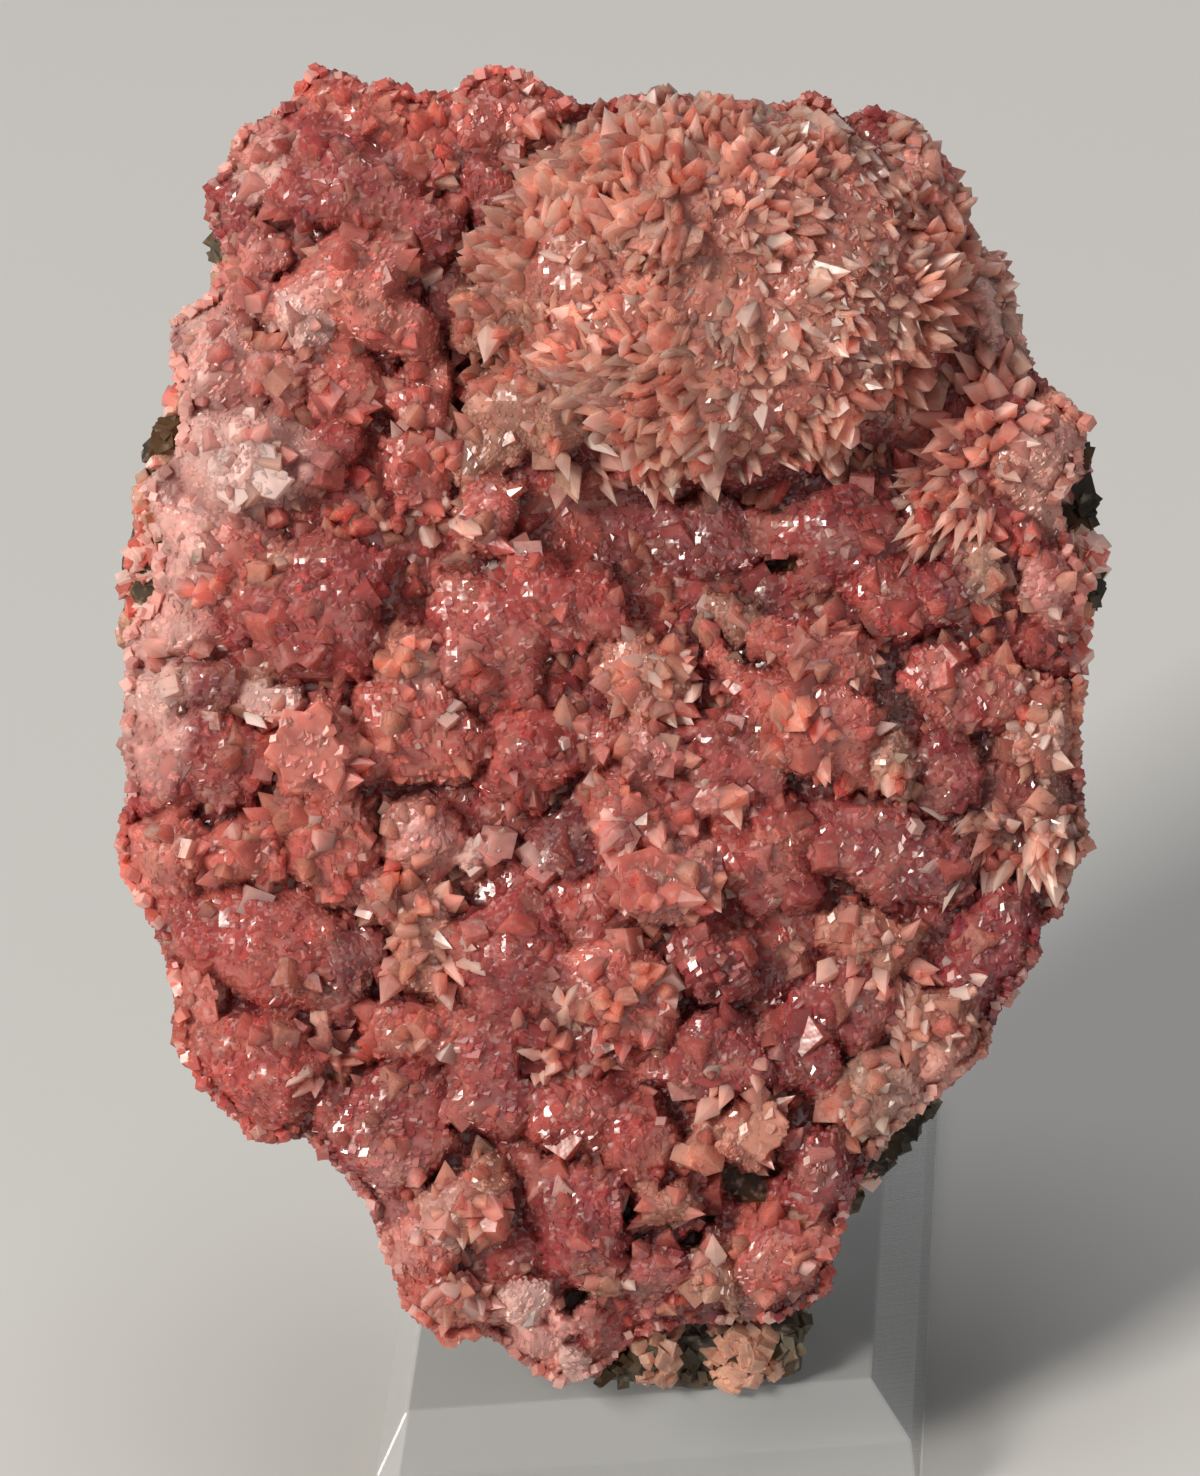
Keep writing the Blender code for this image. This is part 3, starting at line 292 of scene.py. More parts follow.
# How deep the crust lies between its lumps, and how far from the edge that starts, mm
BED_SINK = 0.6
BED_SINKS_FROM = 1.5
BED_SINKS_OVER = 2.0
# Facets on the lumps: pitch, random tilt, its share in height, and how far each is pointed, mm
FACET_PITCH = 1.25
FACET_TILT = 0.22
FACET_STEP = 0.55
FACET_POINT = 0.16
FACET_MIDDLE = 0.5

# Sprays of pointed crystals: centre u and v, reach along u and v, how many, length, radius,
# lean along u and v at the centre, how much they fan out, mm, and tone
SPRAYS = (
    (22.5, 60.0, 3.2, 3.4, 60, 4.2, 0.5, -0.8, -0.7, 0.9, "beige"),
    (25.6, 66.0, 3.0, 3.4, 32, 3.8, 0.85, -0.1, 0.3, 0.8, "peach"),
    (25.5, 38.0, 4.4, 2.0, 34, 4.0, 0.66, -0.4, -0.9, 1.0, "beige"),
    (29.3, 37.2, 1.2, 2.6, 12, 3.6, 0.66, 0.0, -0.9, 0.6, "beige"),
    (-12.4, 31.0, 3.2, 3.2, 17, 3.2, 0.85, 0.0, -0.3, 1.0, "peach"),
    (-19.2, 23.6, 2.2, 2.2, 13, 3.2, 0.85, -0.2, 0.1, 1.4, "peach"),
    (-3.6, 24.2, 3.0, 2.6, 20, 3.2, 0.8, 0.2, 0.1, 1.2, "peach"),
    (17.5, 29.6, 2.8, 2.2, 14, 3.2, 0.8, -0.2, -0.5, 1.0, "peach"),
    (3.4, 48.0, 3.2, 2.6, 16, 2.8, 0.9, 0.0, -0.2, 0.9, "peach"),
    (2.2, 38.4, 3.0, 2.2, 15, 2.8, 0.9, 0.1, -0.9, 0.7, "salmon"),
    (-11.6, 58.8, 2.2, 1.4, 9, 2.8, 0.85, 0.1, -0.4, 0.8, "peach"),
    (-8.3, 56.6, 1.8, 1.2, 7, 2.7, 0.8, -0.1, -0.3, 0.8, "beige"),
    (-1.8, 63.0, 2.4, 1.8, 9, 3.6, 0.8, 0.5, -0.8, 0.5, "beige"),
    (-10.4, 7.4, 2.4, 2.2, 12, 2.6, 0.8, -0.2, -0.2, 0.8, "pink"),
    (17.4, 19.2, 3.0, 2.0, 18, 2.2, 0.75, 0.2, -0.3, 1.0, "beige"),
    (9.0, 21.5, 2.6, 1.6, 9, 2.8, 0.8, 0.1, -0.8, 0.8, "peach"),
    (20.5, 27.0, 4.0, 3.0, 22, 2.2, 0.85, 0.1, -0.2, 0.6, "peach"),
    (28.5, 45.0, 2.0, 3.4, 12, 2.3, 0.8, 0.3, -0.2, 0.6, "peach"),
)

# The crown of blades: centre u and v, reach along u and v, spacing, its clusters' pitch, mm
CROWN_CENTRE = (8.4, 75.0)
CROWN_REACH = (19.0, 13.9)
CROWN_SPACING = 0.7
CROWN_CLUSTER = 3.4
# A crystal's length and radius there, how far its cluster sways it and how ragged the edge is
CROWN_LENGTH = (2.2, 3.6)
CROWN_RADIUS = (0.7, 1.2)
CROWN_SWAY = 1.15
CROWN_RAGGED = 0.2
# Where the crust rises under the crown and other crystals keep away: centre, reach, height, mm
CROWN_SHARE_CENTRE = (7.6, 75.0)
CROWN_SHARE_REACH = (15.2, 12.4)
CROWN_SHARE_TOP = 1.15
CROWN_STEEPNESS = 2.0
CROWN_RISE = 1.9
# Where the crust between its blades is peach
CROWN_FLOOR_CENTRE = (7.3, 75.0)
CROWN_FLOOR_REACH = (14.5, 12.5)
# The most that planted crystals rise with the lumps under them, mm
PLANTED_RISE = 2.3

# Single crystals that stand out: centre u and v, lean along u and v, length, radius, mm, tone
SINGLE_CRYSTALS = (
    (8.2, 67.4, -0.1, -1.3, 2.6, 0.75, "frosted"), (4.3, 62.4, -0.1, -1.5, 2.4, 0.6, "frosted"),
    (15.5, 64.4, 0.2, -1.3, 2.4, 0.6, "peach"), (9.9, 66.8, 0.1, -1.4, 2.6, 0.7, "frosted"),
    (12.0, 66.2, 0.1, -1.2, 2.4, 0.7, "peach"), (2.6, 86.0, 0.3, 1.4, 2.6, 0.9, "frosted"),
    (3.6, 85.6, 0.6, 1.2, 2.6, 0.8, "frosted"), (-3.4, 62.6, 0.6, -1.2, 3.6, 1.0, "beige"),
    (-0.9, 47.4, 1.6, -0.1, 2.2, 0.5, "frosted"), (-8.8, 37.0, 0.1, 0.9, 1.8, 0.8, "frosted"),
    (-18.2, 22.4, 0.3, -1.2, 2.8, 0.9, "peach"), (-20.6, 24.6, -1.0, 0.6, 2.6, 0.8, "peach"),
    (-17.6, 25.2, 0.6, 1.1, 2.4, 0.7, "frosted"), (2.3, 63.0, -0.2, -1.4, 2.6, 0.6, "peach"),
    (26.6, 36.8, -0.2, -1.6, 3.0, 0.6, "peach"), (24.4, 36.9, -0.7, -1.4, 3.0, 0.55, "peach"),
    (28.2, 36.4, 0.3, -1.6, 2.8, 0.6, "frosted"), (22.0, 58.8, -1.3, -0.9, 3.4, 0.45, "frosted"),
    (23.6, 57.8, -0.6, -1.4, 3.2, 0.45, "peach"), (-24.2, 46.4, 0.9, -0.8, 2.6, 0.7, "frosted"),
    (18.4, 42.6, 0.9, 0.5, 2.2, 0.8, "beige"), (8.1, 39.4, 0.2, 0.6, 1.6, 0.7, "frosted"),
    (6.6, 41.2, -0.3, 0.4, 1.6, 0.6, "frosted"), (-13.2, 30.0, -0.4, -1.2, 2.6, 0.8, "peach"),
    (-10.6, 29.8, 0.6, -1.1, 2.6, 0.8, "peach"), (-7.2, 55.0, 0.3, -1.0, 2.0, 0.6, "frosted"),
    (-5.3, 5.6, 0.2, 0.5, 1.8, 0.9, "frosted"), (-23.0, 82.6, -0.2, 0.8, 1.8, 0.9, "frosted"),
)

# Flat crystals that face the viewer: corners in u and v, height of the face over the crust, mm,
# its slope along u and v, tone
PLATES = (
    (((-22.9, 43.4), (-21.9, 45.1), (-21.6, 46.4), (-20.2, 46.2), (-19.2, 47.0), (-18.3, 46.1),
      (-18.5, 45.0), (-17.6, 43.6), (-17.5, 42.0), (-18.1, 40.6), (-19.0, 41.5), (-19.6, 42.2),
      (-20.5, 41.2), (-21.6, 41.6), (-21.9, 42.6)), 3.6, (0.10, -0.22), "bright"),
    (((0.5, 36.6), (2.8, 37.3), (5.0, 36.6), (6.4, 35.6), (5.6, 34.0), (3.2, 33.0),
      (0.8, 32.8)), 2.7, (0.05, 0.20), "salmon"),
    (((8.0, 18.0), (8.9, 19.7), (10.6, 20.4), (11.9, 19.0), (11.3, 17.4), (9.6, 16.6)),
     2.5, (-0.1, 0.1), "peach"),
    (((3.6, 23.2), (5.6, 25.0), (8.0, 25.2), (9.4, 23.8), (9.0, 22.0), (6.8, 21.2),
      (4.6, 21.7)), 2.4, (0.12, 0.02), "carmine"),
    (((-26.9, 61.8), (-26.0, 63.4), (-24.6, 63.2), (-23.9, 64.6), (-22.2, 63.8), (-21.9, 62.2),
      (-20.9, 61.6), (-22.1, 60.2), (-23.6, 60.6), (-24.8, 59.6), (-26.0, 60.4)),
     2.2, (-0.2, 0.10), "frosted"),
    (((-28.2, 30.4), (-26.9, 29.6), (-26.3, 27.6), (-26.0, 25.6), (-27.2, 24.6), (-28.2, 26.4),
      (-28.6, 28.6)), 1.7, (-0.5, -0.05), "salmon"),
)

# Where the crust is frosted and pale: centre u and v, reach along u and v, mm, and how much
PALE_PATCHES = (
    (-31.0, 60.0, 6.0, 15.0, 0.85), (-24.0, 62.3, 5.4, 4.4, 0.7), (-30.5, 46.5, 3.2, 6.5, 0.6),
    (26.0, 73.5, 2.8, 6.5, 0.6), (-27.5, 72.0, 3.0, 3.5, 0.55), (-5.2, 5.6, 3.4, 2.8, 0.5),
    (-10.5, 12.5, 3.0, 2.6, 0.35), (-23.5, 68.5, 5.0, 4.5, 0.35), (22.0, 20.0, 4.0, 5.0, 0.35),
    (29.5, 62.0, 3.2, 5.0, 0.35), (-23.0, 84.0, 2.6, 2.0, 0.4), (-12.5, 37.5, 2.4, 2.0, 0.35),
    (-14.5, 13.0, 3.0, 5.0, 0.3), (-20.3, 72.6, 1.8, 2.8, 0.5), (-12.5, 49.0, 3.0, 2.4, 0.25),
)
PALE_STEEPNESS = 1.8

# Low crystals on each side of a plate's outline
PLATE_GRAINS = 3
# The outlines of a plate from its face down: size, and drop, mm
PLATE_RINGS = ((0.93, 0.0), (1.0, 0.25), (0.80, 5.0))

# Openings into the crust: centre u and v, half width and half height, floor, mm
OPENINGS = (
    (9.0, 14.2, 1.9, 1.6, -1.9), (5.7, 12.1, 0.6, 0.6, -1.9), (5.2, 10.4, 0.65, 0.55, -1.9),
    (0.7, 13.0, 0.5, 1.4, -1.0), (-2.2, 6.9, 0.8, 0.8, -1.9), (10.9, 55.2, 1.5, 0.5, -1.0),
)
# An opening's reach in half widths, how ragged its edge is, and how steep its walls are
OPENING_REACH = 1.2
OPENING_RAGGED = 0.35
OPENING_STEEPNESS = 1.9

# Tones of the lumps on which coarser crystals stand close together
PATCHY = ("peach", "pink", "beige", "salmon")
# Tones of the lumps whose coarser crystals are as deep in colour as themselves
DEEP = ("dark", "mauve", "raspberry", "carmine")
# Tones that come and go from one small crystal group to the next
DRIFT = ("salmon", "peach", "mauve", "carmine", "pink", "salmon", "beige", "mauve")
DRIFT_PITCH = 1.5
DRIFT_SHARE = 0.22
# How much of the broad drift of colour over the crust shows everywhere
REGION_SHARE = 0.24
# Tones of the crust between its lumps, and the shares at which they change; patch size, mm, and
# the width over which they grow darker to the right
BED_TONES = ("dark", "mauve", "carmine", "salmon", "peach")
BED_BOUNDS = (0.16, 0.50, 0.74, 0.92)
BED_PATCH = 3.4
BED_DRIFT = 90.0
# Painted shade in the recesses: the squares they are measured over, in cells, their full depth, mm,
# and how much red, green, blue and frost the painted shade takes away
RECESS_CELLS = 4
RECESS_DEPTH = 1.3
PAINTED_SHADE_LOSS = (0.64, 0.80, 0.78, 0.0)
# Single crystals of another tone: the chance up to which each applies, and its share
ODD_TONES = ((0.14, "frosted", 0.6), (0.32, "salmon", 0.5), (0.46, "mauve", 0.4))

# Small crystals: spacing, mm, size between the lumps, mm, radius for that size, how far their
# feet are sunk, how far a lump's crystals lean together, and where the pieces divide
FINE_PITCH = 0.42
BED_GRAIN = 0.5
FINE_GIRTH = 0.62
FINE_SINK = 0.42
LUMP_LEAN = 0.35
MIDDLE_V = 45.0
# Coarser crystals: spacing, length, radius, mm, and how close they stand; each tone's chance
MIDDLING_PITCH = 0.95
MIDDLING_LENGTH = (1.3, 3.0)
MIDDLING_CLOSENESS = 0.62
MIDDLING_TONES = {
    "salmon": 0.26, "peach": 0.32, "pink": 0.12, "beige": 0.12, "carmine": 0.12, "frosted": 0.06,
}
COARSE_PITCH = 2.1
COARSE_RADIUS = (0.9, 1.75)
COARSE_TONES = {
    "salmon": 0.34, "peach": 0.18, "pink": 0.16, "mauve": 0.16, "carmine": 0.12, "frosted": 0.04,
}
# Scattered points are this many times closer on the steepest slopes
STEEPEST = 3
# A whole turn and a third of one, radians
FULL_TURN = 6.3
THIRD_TURN = 2.1

# Crystals to a square millimetre of the crust's edge
RIM_CLOSENESS = 3.2
# How far in from the edge the rim's crystals stand, mm
RIM_DEPTH = 0.9
# Painted shade and light along a crystal: how much darker its root is than its mean tone, and how
# much paler its tip
ROOT_PAINTED_SHADE = 0.58
TIP_PAINTED_LIGHT = 1.28
# The height in a crystal, in its lengths, at which its painted shade is as deep as at its root
ROOT_END = -0.5
# Half the diagonal of a rhombohedron's face
RHOMB_GIRTH = 1.633

GRID_PITCH = 0.36
GRID_U = (-35.0, 35.01)
GRID_V = (-0.5, 91.0)
# What a point of the grid belongs to where it is on no lump
BED = -1
OPENING = -2
# How often the crust's cells are searched for two that meet at one point only
CROSSING_TRIES = 6
# The noise fields: how far they start before u and v of zero, and their width and height, mm
CELL_FIELD = (36.0, 2.0, 72, 94)
SOFT_FIELD = (37.0, 3.0, 76, 98)
# Random values that the cells of a noise draw on
CELLS = 40000
# The square that the OFBake layer spans: how far it starts before u and v of zero, its side, mm
BAKE_BEFORE = (36.0, 2.0)
BAKE_SPAN = 94.0

# The host rock: its mesh's cells, mm, and how rough its flat faces and its edges are, mm
ROCK_VOXEL = 0.5
ROUGH_FLAT = 0.25
ROUGH_EDGE = 0.75
# What grows on its ledges: points to a millimetre of the outline, the crystals' tones, and the
# bare foot's top, left and right, mm
LEDGE_CLOSENESS = 9
LEDGE_TONES = ("frosted", "pink", "salmon", "beige", "frosted")
FOOT_TOP = 6.0
FOOT_LEFT = -2.5
FOOT_RIGHT = 13.4

# Colours of the materials, linear
VEIL_COLOUR = (0.78, 0.50, 0.44, 1.0)
ROCK_DARK = (0.03, 0.023, 0.016, 1.0)
ROCK_GREY = (0.135, 0.115, 0.075, 1.0)
ROCK_STAIN = (0.10, 0.045, 0.012, 1.0)
ROCK_GRAIN = (0.42, 0.38, 0.30, 1.0)
FLOOR_COLOURS = ((0.62, 0.61, 0.595, 1.0), (0.65, 0.64, 0.625, 1.0))

# The floor's half side and what the lamps point at, m, and the camera in the face frame, mm
FLOOR_HALF = 3.0
LIGHT_TARGET = (0.0, -0.01, 0.05)
CAMERA_IN_FACE = (-0.67, 44.47, 547.0)


def srgb(value):
    """A colour channel from 0 to 255 as a linear value."""
    value = value / 255.0
    return value / 12.92 if value <= 0.04045 else ((value + 0.055) / 1.055) ** 2.4


def tone(name):
    """A tone as linear red, green, blue and frost."""
    red, green, blue, frost = TONES[name]
    return np.array((srgb(red), srgb(green), srgb(blue), frost))


def tones(names):
    return np.array([tone(name) for name in names])


def blend(a, b, share):
    """Two tones mixed; share is the second one's part."""
    return a * (1.0 - share) + b * share


def face_axes():
    """The directions of u, v and w in the room, one in each row."""
    turn, lean, roll = (math.radians(a) for a in (FACE_TURN, FACE_LEAN, FACE_ROLL))
    out = np.array((
        math.sin(turn) * math.cos(lean),
        -math.cos(turn) * math.cos(lean),
        math.sin(lean),
    ))
    level = np.array((math.cos(turn), math.sin(turn), 0.0))
    steep = np.cross(out, level)
    right = math.cos(roll) * level - math.sin(roll) * steep
    up = math.cos(roll) * steep + math.sin(roll) * level
    return np.stack((right, up, out))


FACE = face_axes()
OUT = FACE[2]
ORIGIN = np.array(TIP_IN_ROOM) - np.array(TIP_IN_FACE) @ FACE


def to_room(points):
    """Points of the face frame in millimetres as places in the room in metres."""
    return (ORIGIN + np.asarray(points, float) @ FACE) * MM


def normalised(vectors):
    return vectors / (np.linalg.norm(vectors, axis=-1, keepdims=True) + 1e-12)


def oval(u, v, centre, reach, top=1.0):
    """The top value, 1 at most, in the middle of an oval, down to 0 at its edge and past it."""
    near = top - ((u - centre[0]) / reach[0]) ** 2 - ((v - centre[1]) / reach[1]) ** 2
    return np.clip(near, 0.0, 1.0)


def between(field, gu, gv, eased=False):
    """A grid field read between its points, at places counted in grid steps."""
    iu, iv = gu.astype(int), gv.astype(int)
    fu, fv = gu - iu, gv - iv
    if eased:
        fu, fv = fu * fu * (3 - 2 * fu), fv * fv * (3 - 2 * fv)
    low = field[iu, iv] * (1 - fu) + field[iu + 1, iv] * fu
    high = field[iu, iv + 1] * (1 - fu) + field[iu + 1, iv + 1] * fu
    return low * (1 - fv) + high * fv


# The crust's outline and its height


def draw_back(u, v):
    """How far the crust draws back from the outline at a point, where bare rock shows."""
    most = 0.0
    for cu, cv, reach, depth in BARE_ROCK:
        near = 1.0 - math.hypot(u - cu, v - cv) / reach
        if near > 0.0:
            most = max(most, depth * min(1.0, DRAW_BACK_STEEPNESS * near))
    return most


def crust_outline():
    """The crust's outline: the specimen's, with the bare foot left out."""
    first = OUTLINE.index(FOOT_FROM)
    last = OUTLINE.index(FOOT_TO)
    points = np.array(OUTLINE[:first] + FOOT_EDGE + OUTLINE[last:])
    along = normalised(np.roll(points, -1, axis=0) - np.roll(points, 1, axis=0))
    normal = np.stack((along[:, 1], -along[:, 0]), axis=1)
    inset = np.array([CRUST_INSET + draw_back(u, v) for u, v in points])
    return points + normal * inset[:, None]


EDGE = crust_outline()


def inside_edge(u, v):
    """Which points lie inside the crust's outline."""
    within = np.zeros(np.shape(u), bool)
    for a, b in zip(np.roll(EDGE, 1, axis=0), EDGE):
        if a[1] == b[1]:
            continue
        crosses = (a[1] > v) != (b[1] > v)
        within ^= crosses & (u < a[0] + (v - a[1]) / (b[1] - a[1]) * (b[0] - a[0]))
    return within


def edge_distance(u, v):
    """Each point's distance to the outline, and the nearest point on it."""
    least = np.full(np.shape(u), np.inf)
    near_u = np.zeros(np.shape(u))
    near_v = np.zeros(np.shape(u))
    for a, b in zip(np.roll(EDGE, 1, axis=0), EDGE):
        along = b - a
        t = ((u - a[0]) * along[0] + (v - a[1]) * along[1]) / (along @ along)
        t = np.clip(t, 0.0, 1.0)
        pu = a[0] + along[0] * t
        pv = a[1] + along[1] * t
        far = np.hypot(u - pu, v - pv)
        closer = far < least
        least = np.where(closer, far, least)
        near_u = np.where(closer, pu, near_u)
        near_v = np.where(closer, pv, near_v)
    return least, near_u, near_v


def crust_level(u, v):
    """The w of the crust's surface before lumps and crystals are added."""
    away = np.where(inside_edge(u, v), edge_distance(u, v)[0], 0.0)
    level = CRUST_RIM + (CRUST_BED - CRUST_RIM) * (1.0 - np.exp(-away / RIM_FALL))
    for cu, cv, reach_u, reach_v, height in SWELLS:
        swell = oval(u, v, (cu, cv), (reach_u, reach_v)) ** SWELL_POWER
        level = level + height * swell * np.minimum(1.0, away / RIM_FALL)
    return level


def level_at(point):
    """crust_level at a single point."""
    return float(crust_level(np.array(point[:1]), np.array(point[1:]))[0])


def dome(u, v, row, rng):
    """The height of one lump over the points: flat faces that touch an ellipsoid."""
    cu, cv, half_u, half_v, turn, rise = row[:6]
    angle = math.radians(turn)
    x = ((u - cu) * math.cos(angle) + (v - cv) * math.sin(angle)) / (half_u * LUMP_SPREAD)
    y = ((v - cv) * math.cos(angle) - (u - cu) * math.sin(angle)) / (half_v * LUMP_SPREAD)
    top = np.full(np.shape(u), np.inf)
    for k in range(DOME_PLANES):
        height = 1.0 - (k + DOME_FIRST) / DOME_PLANES * DOME_DROP
        around = k * GOLDEN_ANGLE + rng.uniform(-DOME_WANDER, DOME_WANDER)
        flat = math.sqrt(1.0 - height * height)
        offset = rng.uniform(*DOME_CUT)
        plane = (offset - flat * math.cos(around) * x - flat * math.sin(around) * y) / height
        top = np.minimum(top, plane)
    return level_at((cu, cv)) + rise * LUMP_DEPTH * top - LUMP_SUNK * rise


def cone_noise(u, v, pitch, seed):
    """Random cells of about one pitch: each point's distance to its cell's centre, in pitches,
    and the cell's number."""
    rng = np.random.default_rng(seed)
    before_u, before_v, wide, high = CELL_FIELD
    columns, rows = int(wide / pitch) + 3, int(high / pitch) + 3
    jitter = rng.uniform(0.1, 0.9, (columns, rows, 2))
    gu, gv = (u + before_u) / pitch, (v + before_v) / pitch
    iu, iv = gu.astype(int), gv.astype(int)
    best = np.full(np.shape(u), np.inf)
    cell = np.zeros(np.shape(u), int)
    for du in (-1, 0, 1):
        for dv in (-1, 0, 1):
            cu = np.clip(iu + du, 0, columns - 1)
            cv = np.clip(iv + dv, 0, rows - 1)
            centre = jitter[cu, cv]
            far = np.hypot(cu + centre[..., 0] - gu, cv + centre[..., 1] - gv)
            closer = far < best
            best = np.where(closer, far, best)
            cell = np.where(closer, cu * rows + cv, cell)
    return best, cell


def by_cell(values, cell):
    """The random value of each point's cell."""
    return values[cell % len(values)]


def smooth_noise(u, v, pitch, seed):
    """Soft random swells of about one pitch, from -1 to 1."""
    rng = np.random.default_rng(seed)
    before_u, before_v, wide, high = SOFT_FIELD
    knots = rng.uniform(-1.0, 1.0, (int(wide / pitch) + 4, int(high / pitch) + 4))
    return between(knots, (u + before_u) / pitch, (v + before_v) / pitch, eased=True)


def noise_here(u, v, pitch, seed):
    """smooth_noise at a single point."""
    return float(smooth_noise(np.array(u), np.array(v), pitch, seed))


def crown_share(u, v):
    """How far a point lies within the crown of bladed crystals, from 0 to 1."""
    return oval(u, v, CROWN_SHARE_CENTRE, CROWN_SHARE_REACH, CROWN_SHARE_TOP)


def warped(field, u, v, seed):
    """One coordinate with the wander that makes the lumps' outlines irregular."""
    fine = FINE_WARP * smooth_noise(u, v, FINE_WARP_PITCH, seed + 2)
    return field + WARP * smooth_noise(u, v, WARP_PITCH, seed) + fine


def height_field():
    """The crust's surface on a grid: w, and the lump that each point belongs to, or BED or
    OPENING."""
    us = np.arange(*GRID_U, GRID_PITCH)
    vs = np.arange(*GRID_V, GRID_PITCH)
    u, v = np.meshgrid(us, vs, indexing="ij")
    in_crown = np.minimum(crown_share(u, v) * CROWN_STEEPNESS, 1.0)
    level = crust_level(u, v)
    far, _ = cone_noise(u, v, HUMP_PITCH, seed=4)
    hump = HUMP_HEIGHT * np.clip(HUMP_REACH - far, 0.0, 1.0)
    level = level + hump * np.clip((level - HUMPS_FROM) / HUMPS_OVER, 0.0, 1.0)
    level = level + CROWN_RISE * in_crown

    owner = np.full(u.shape, BED)
    rng = np.random.default_rng(21)
    warped_u, warped_v = warped(u, u, v, seed=91), warped(v, u, v, seed=92)
    for i, row in enumerate(LUMPS):
        reach = LUMP_REACH * max(row[2], row[3]) + WARP
        box = (np.abs(us - row[0]) < reach)[:, None] & (np.abs(vs - row[1]) < reach)[None, :]
        top = dome(warped_u[box], warped_v[box], row, rng)
        here = level[box]
        level[box] = np.maximum(top, here)
        owner[box] = np.where(top > here, i, owner[box])

    away = edge_distance(u, v)[0]
    sunk = np.clip((away - BED_SINKS_FROM) / BED_SINKS_OVER, 0.0, 1.0) * (1.0 - in_crown)
    level = level - np.where(owner == BED, BED_SINK, 0.0) * sunk
    facet, cell = cone_noise(u, v, FACET_PITCH, seed=6)
    tilt = by_cell(np.random.default_rng(16).uniform(-FACET_TILT, FACET_TILT, CELLS), cell)
    point = tilt * FACET_STEP + FACET_POINT * (FACET_MIDDLE - facet)
    level = level + np.where(owner >= 0, point, 0.0)
    near_rim = np.clip(away / RIM_ROUNDING, 0.0, 1.0)
    rounded = CRUST_RIM + (level - CRUST_RIM) * (RIM_KEEPS + RIM_GAINS * near_rim)
    level = np.where(level > CRUST_RIM, rounded, level)

    for cu, cv, half_u, half_v, floor_level in OPENINGS:
        depth = OPENING_REACH - np.hypot((warped_u - cu) / half_u, (warped_v - cv) / half_v)
        depth = depth + OPENING_RAGGED * tilt / FACET_TILT
        depth = np.clip(depth * OPENING_STEEPNESS, 0.0, 1.0)
        level = level * (1.0 - depth) + np.minimum(level, floor_level) * depth
        owner = np.where(depth > 0.5, OPENING, owner)
    return us, vs, np.maximum(level, CRUST_BACK + LEAST_CRUST), owner


def box_blur(field, cells):
    """The field's mean over a square of cells about each point."""
    for axis in (0, 1):
        padded = np.pad(field, [(cells, cells) if a == axis else (0, 0) for a in (0, 1)], "edge")
        total = np.insert(np.cumsum(padded, axis=axis), 0, 0.0, axis=axis)
        start = np.arange(field.shape[axis])
        high = np.take(total, start + 2 * cells + 1, axis=axis)
        low = np.take(total, start, axis=axis)
        field = (high - low) / (2 * cells + 1)
    return field


US, VS, HEIGHT, OWNER = height_field()
# How deep each point lies between its neighbours, from 0 to 1: the recesses get painted shade, a
# darker colour where shade falls
MEAN_HEIGHT = box_blur(box_blur(HEIGHT, RECESS_CELLS), RECESS_CELLS)
RECESS_PAINTED_SHADE = np.clip((MEAN_HEIGHT - HEIGHT) / RECESS_DEPTH, 0.0, 1.0)
SLOPE_U = np.gradient(HEIGHT, GRID_PITCH, axis=0)
SLOPE_V = np.gradient(HEIGHT, GRID_PITCH, axis=1)


def at(field, u, v):
    """A field of the crust's grid read between its points."""
    gu = np.clip((u - US[0]) / GRID_PITCH, 0, len(US) - 1.001)
    gv = np.clip((v - VS[0]) / GRID_PITCH, 0, len(VS) - 1.001)
    return between(field, gu, gv)


def owner_at(u, v):
    """The lump at each point, or BED or OPENING."""
    iu = np.clip(np.rint((u - US[0]) / GRID_PITCH).astype(int), 0, len(US) - 1)
    iv = np.clip(np.rint((v - VS[0]) / GRID_PITCH).astype(int), 0, len(VS) - 1)
    return OWNER[iu, iv]


def normal_at(u, v):
    """The crust's direction outwards at each point."""
    return normalised(np.stack((-at(SLOPE_U, u, v), -at(SLOPE_V, u, v), np.ones_like(u)), axis=-1))


def surface_at(u, v):
    """The crust's points at u and v."""
    return np.stack((u, v, at(HEIGHT, u, v)), axis=1)


# Colours

LUMP_TONES = tones([row[6] for row in LUMPS])
LUMP_GRAIN = np.array([row[7] for row in LUMPS])


def bed_tone(u, v):
    """The tone of the crust between its lumps: mauve and dark with paler, redder patches."""
    _, cell = cone_noise(u, v, BED_PATCH, seed=8)
    pick = by_cell(np.random.default_rng(14).random(CELLS), cell)
    light = np.clip(0.5 - u / BED_DRIFT, 0.2, 0.9)
    pick = np.clip(pick * 0.8 + 0.4 * (light - 0.4), 0.0, 0.999)
    found = tones(BED_TONES)[np.searchsorted(BED_BOUNDS, pick)]
    crown = oval(u, v, CROWN_FLOOR_CENTRE, CROWN_FLOOR_REACH)[..., None] ** 0.5
    return blend(found, blend(tone("peach"), tone("salmon"), 0.15), crown)


def region_tone(u, v):
    """The broad drift of colour over the crust, from salmon at the left to mauve at the right."""
    share = 0.5 + u / 52.0 + (45.0 - v) / 130.0 + 0.35 * smooth_noise(u, v, 9.0, seed=95)
    share = np.clip(share, 0.0, 1.0)[..., None]
    return blend(tone("salmon"), tone("mauve") * 0.75 + tone("beige") * 0.15, share)


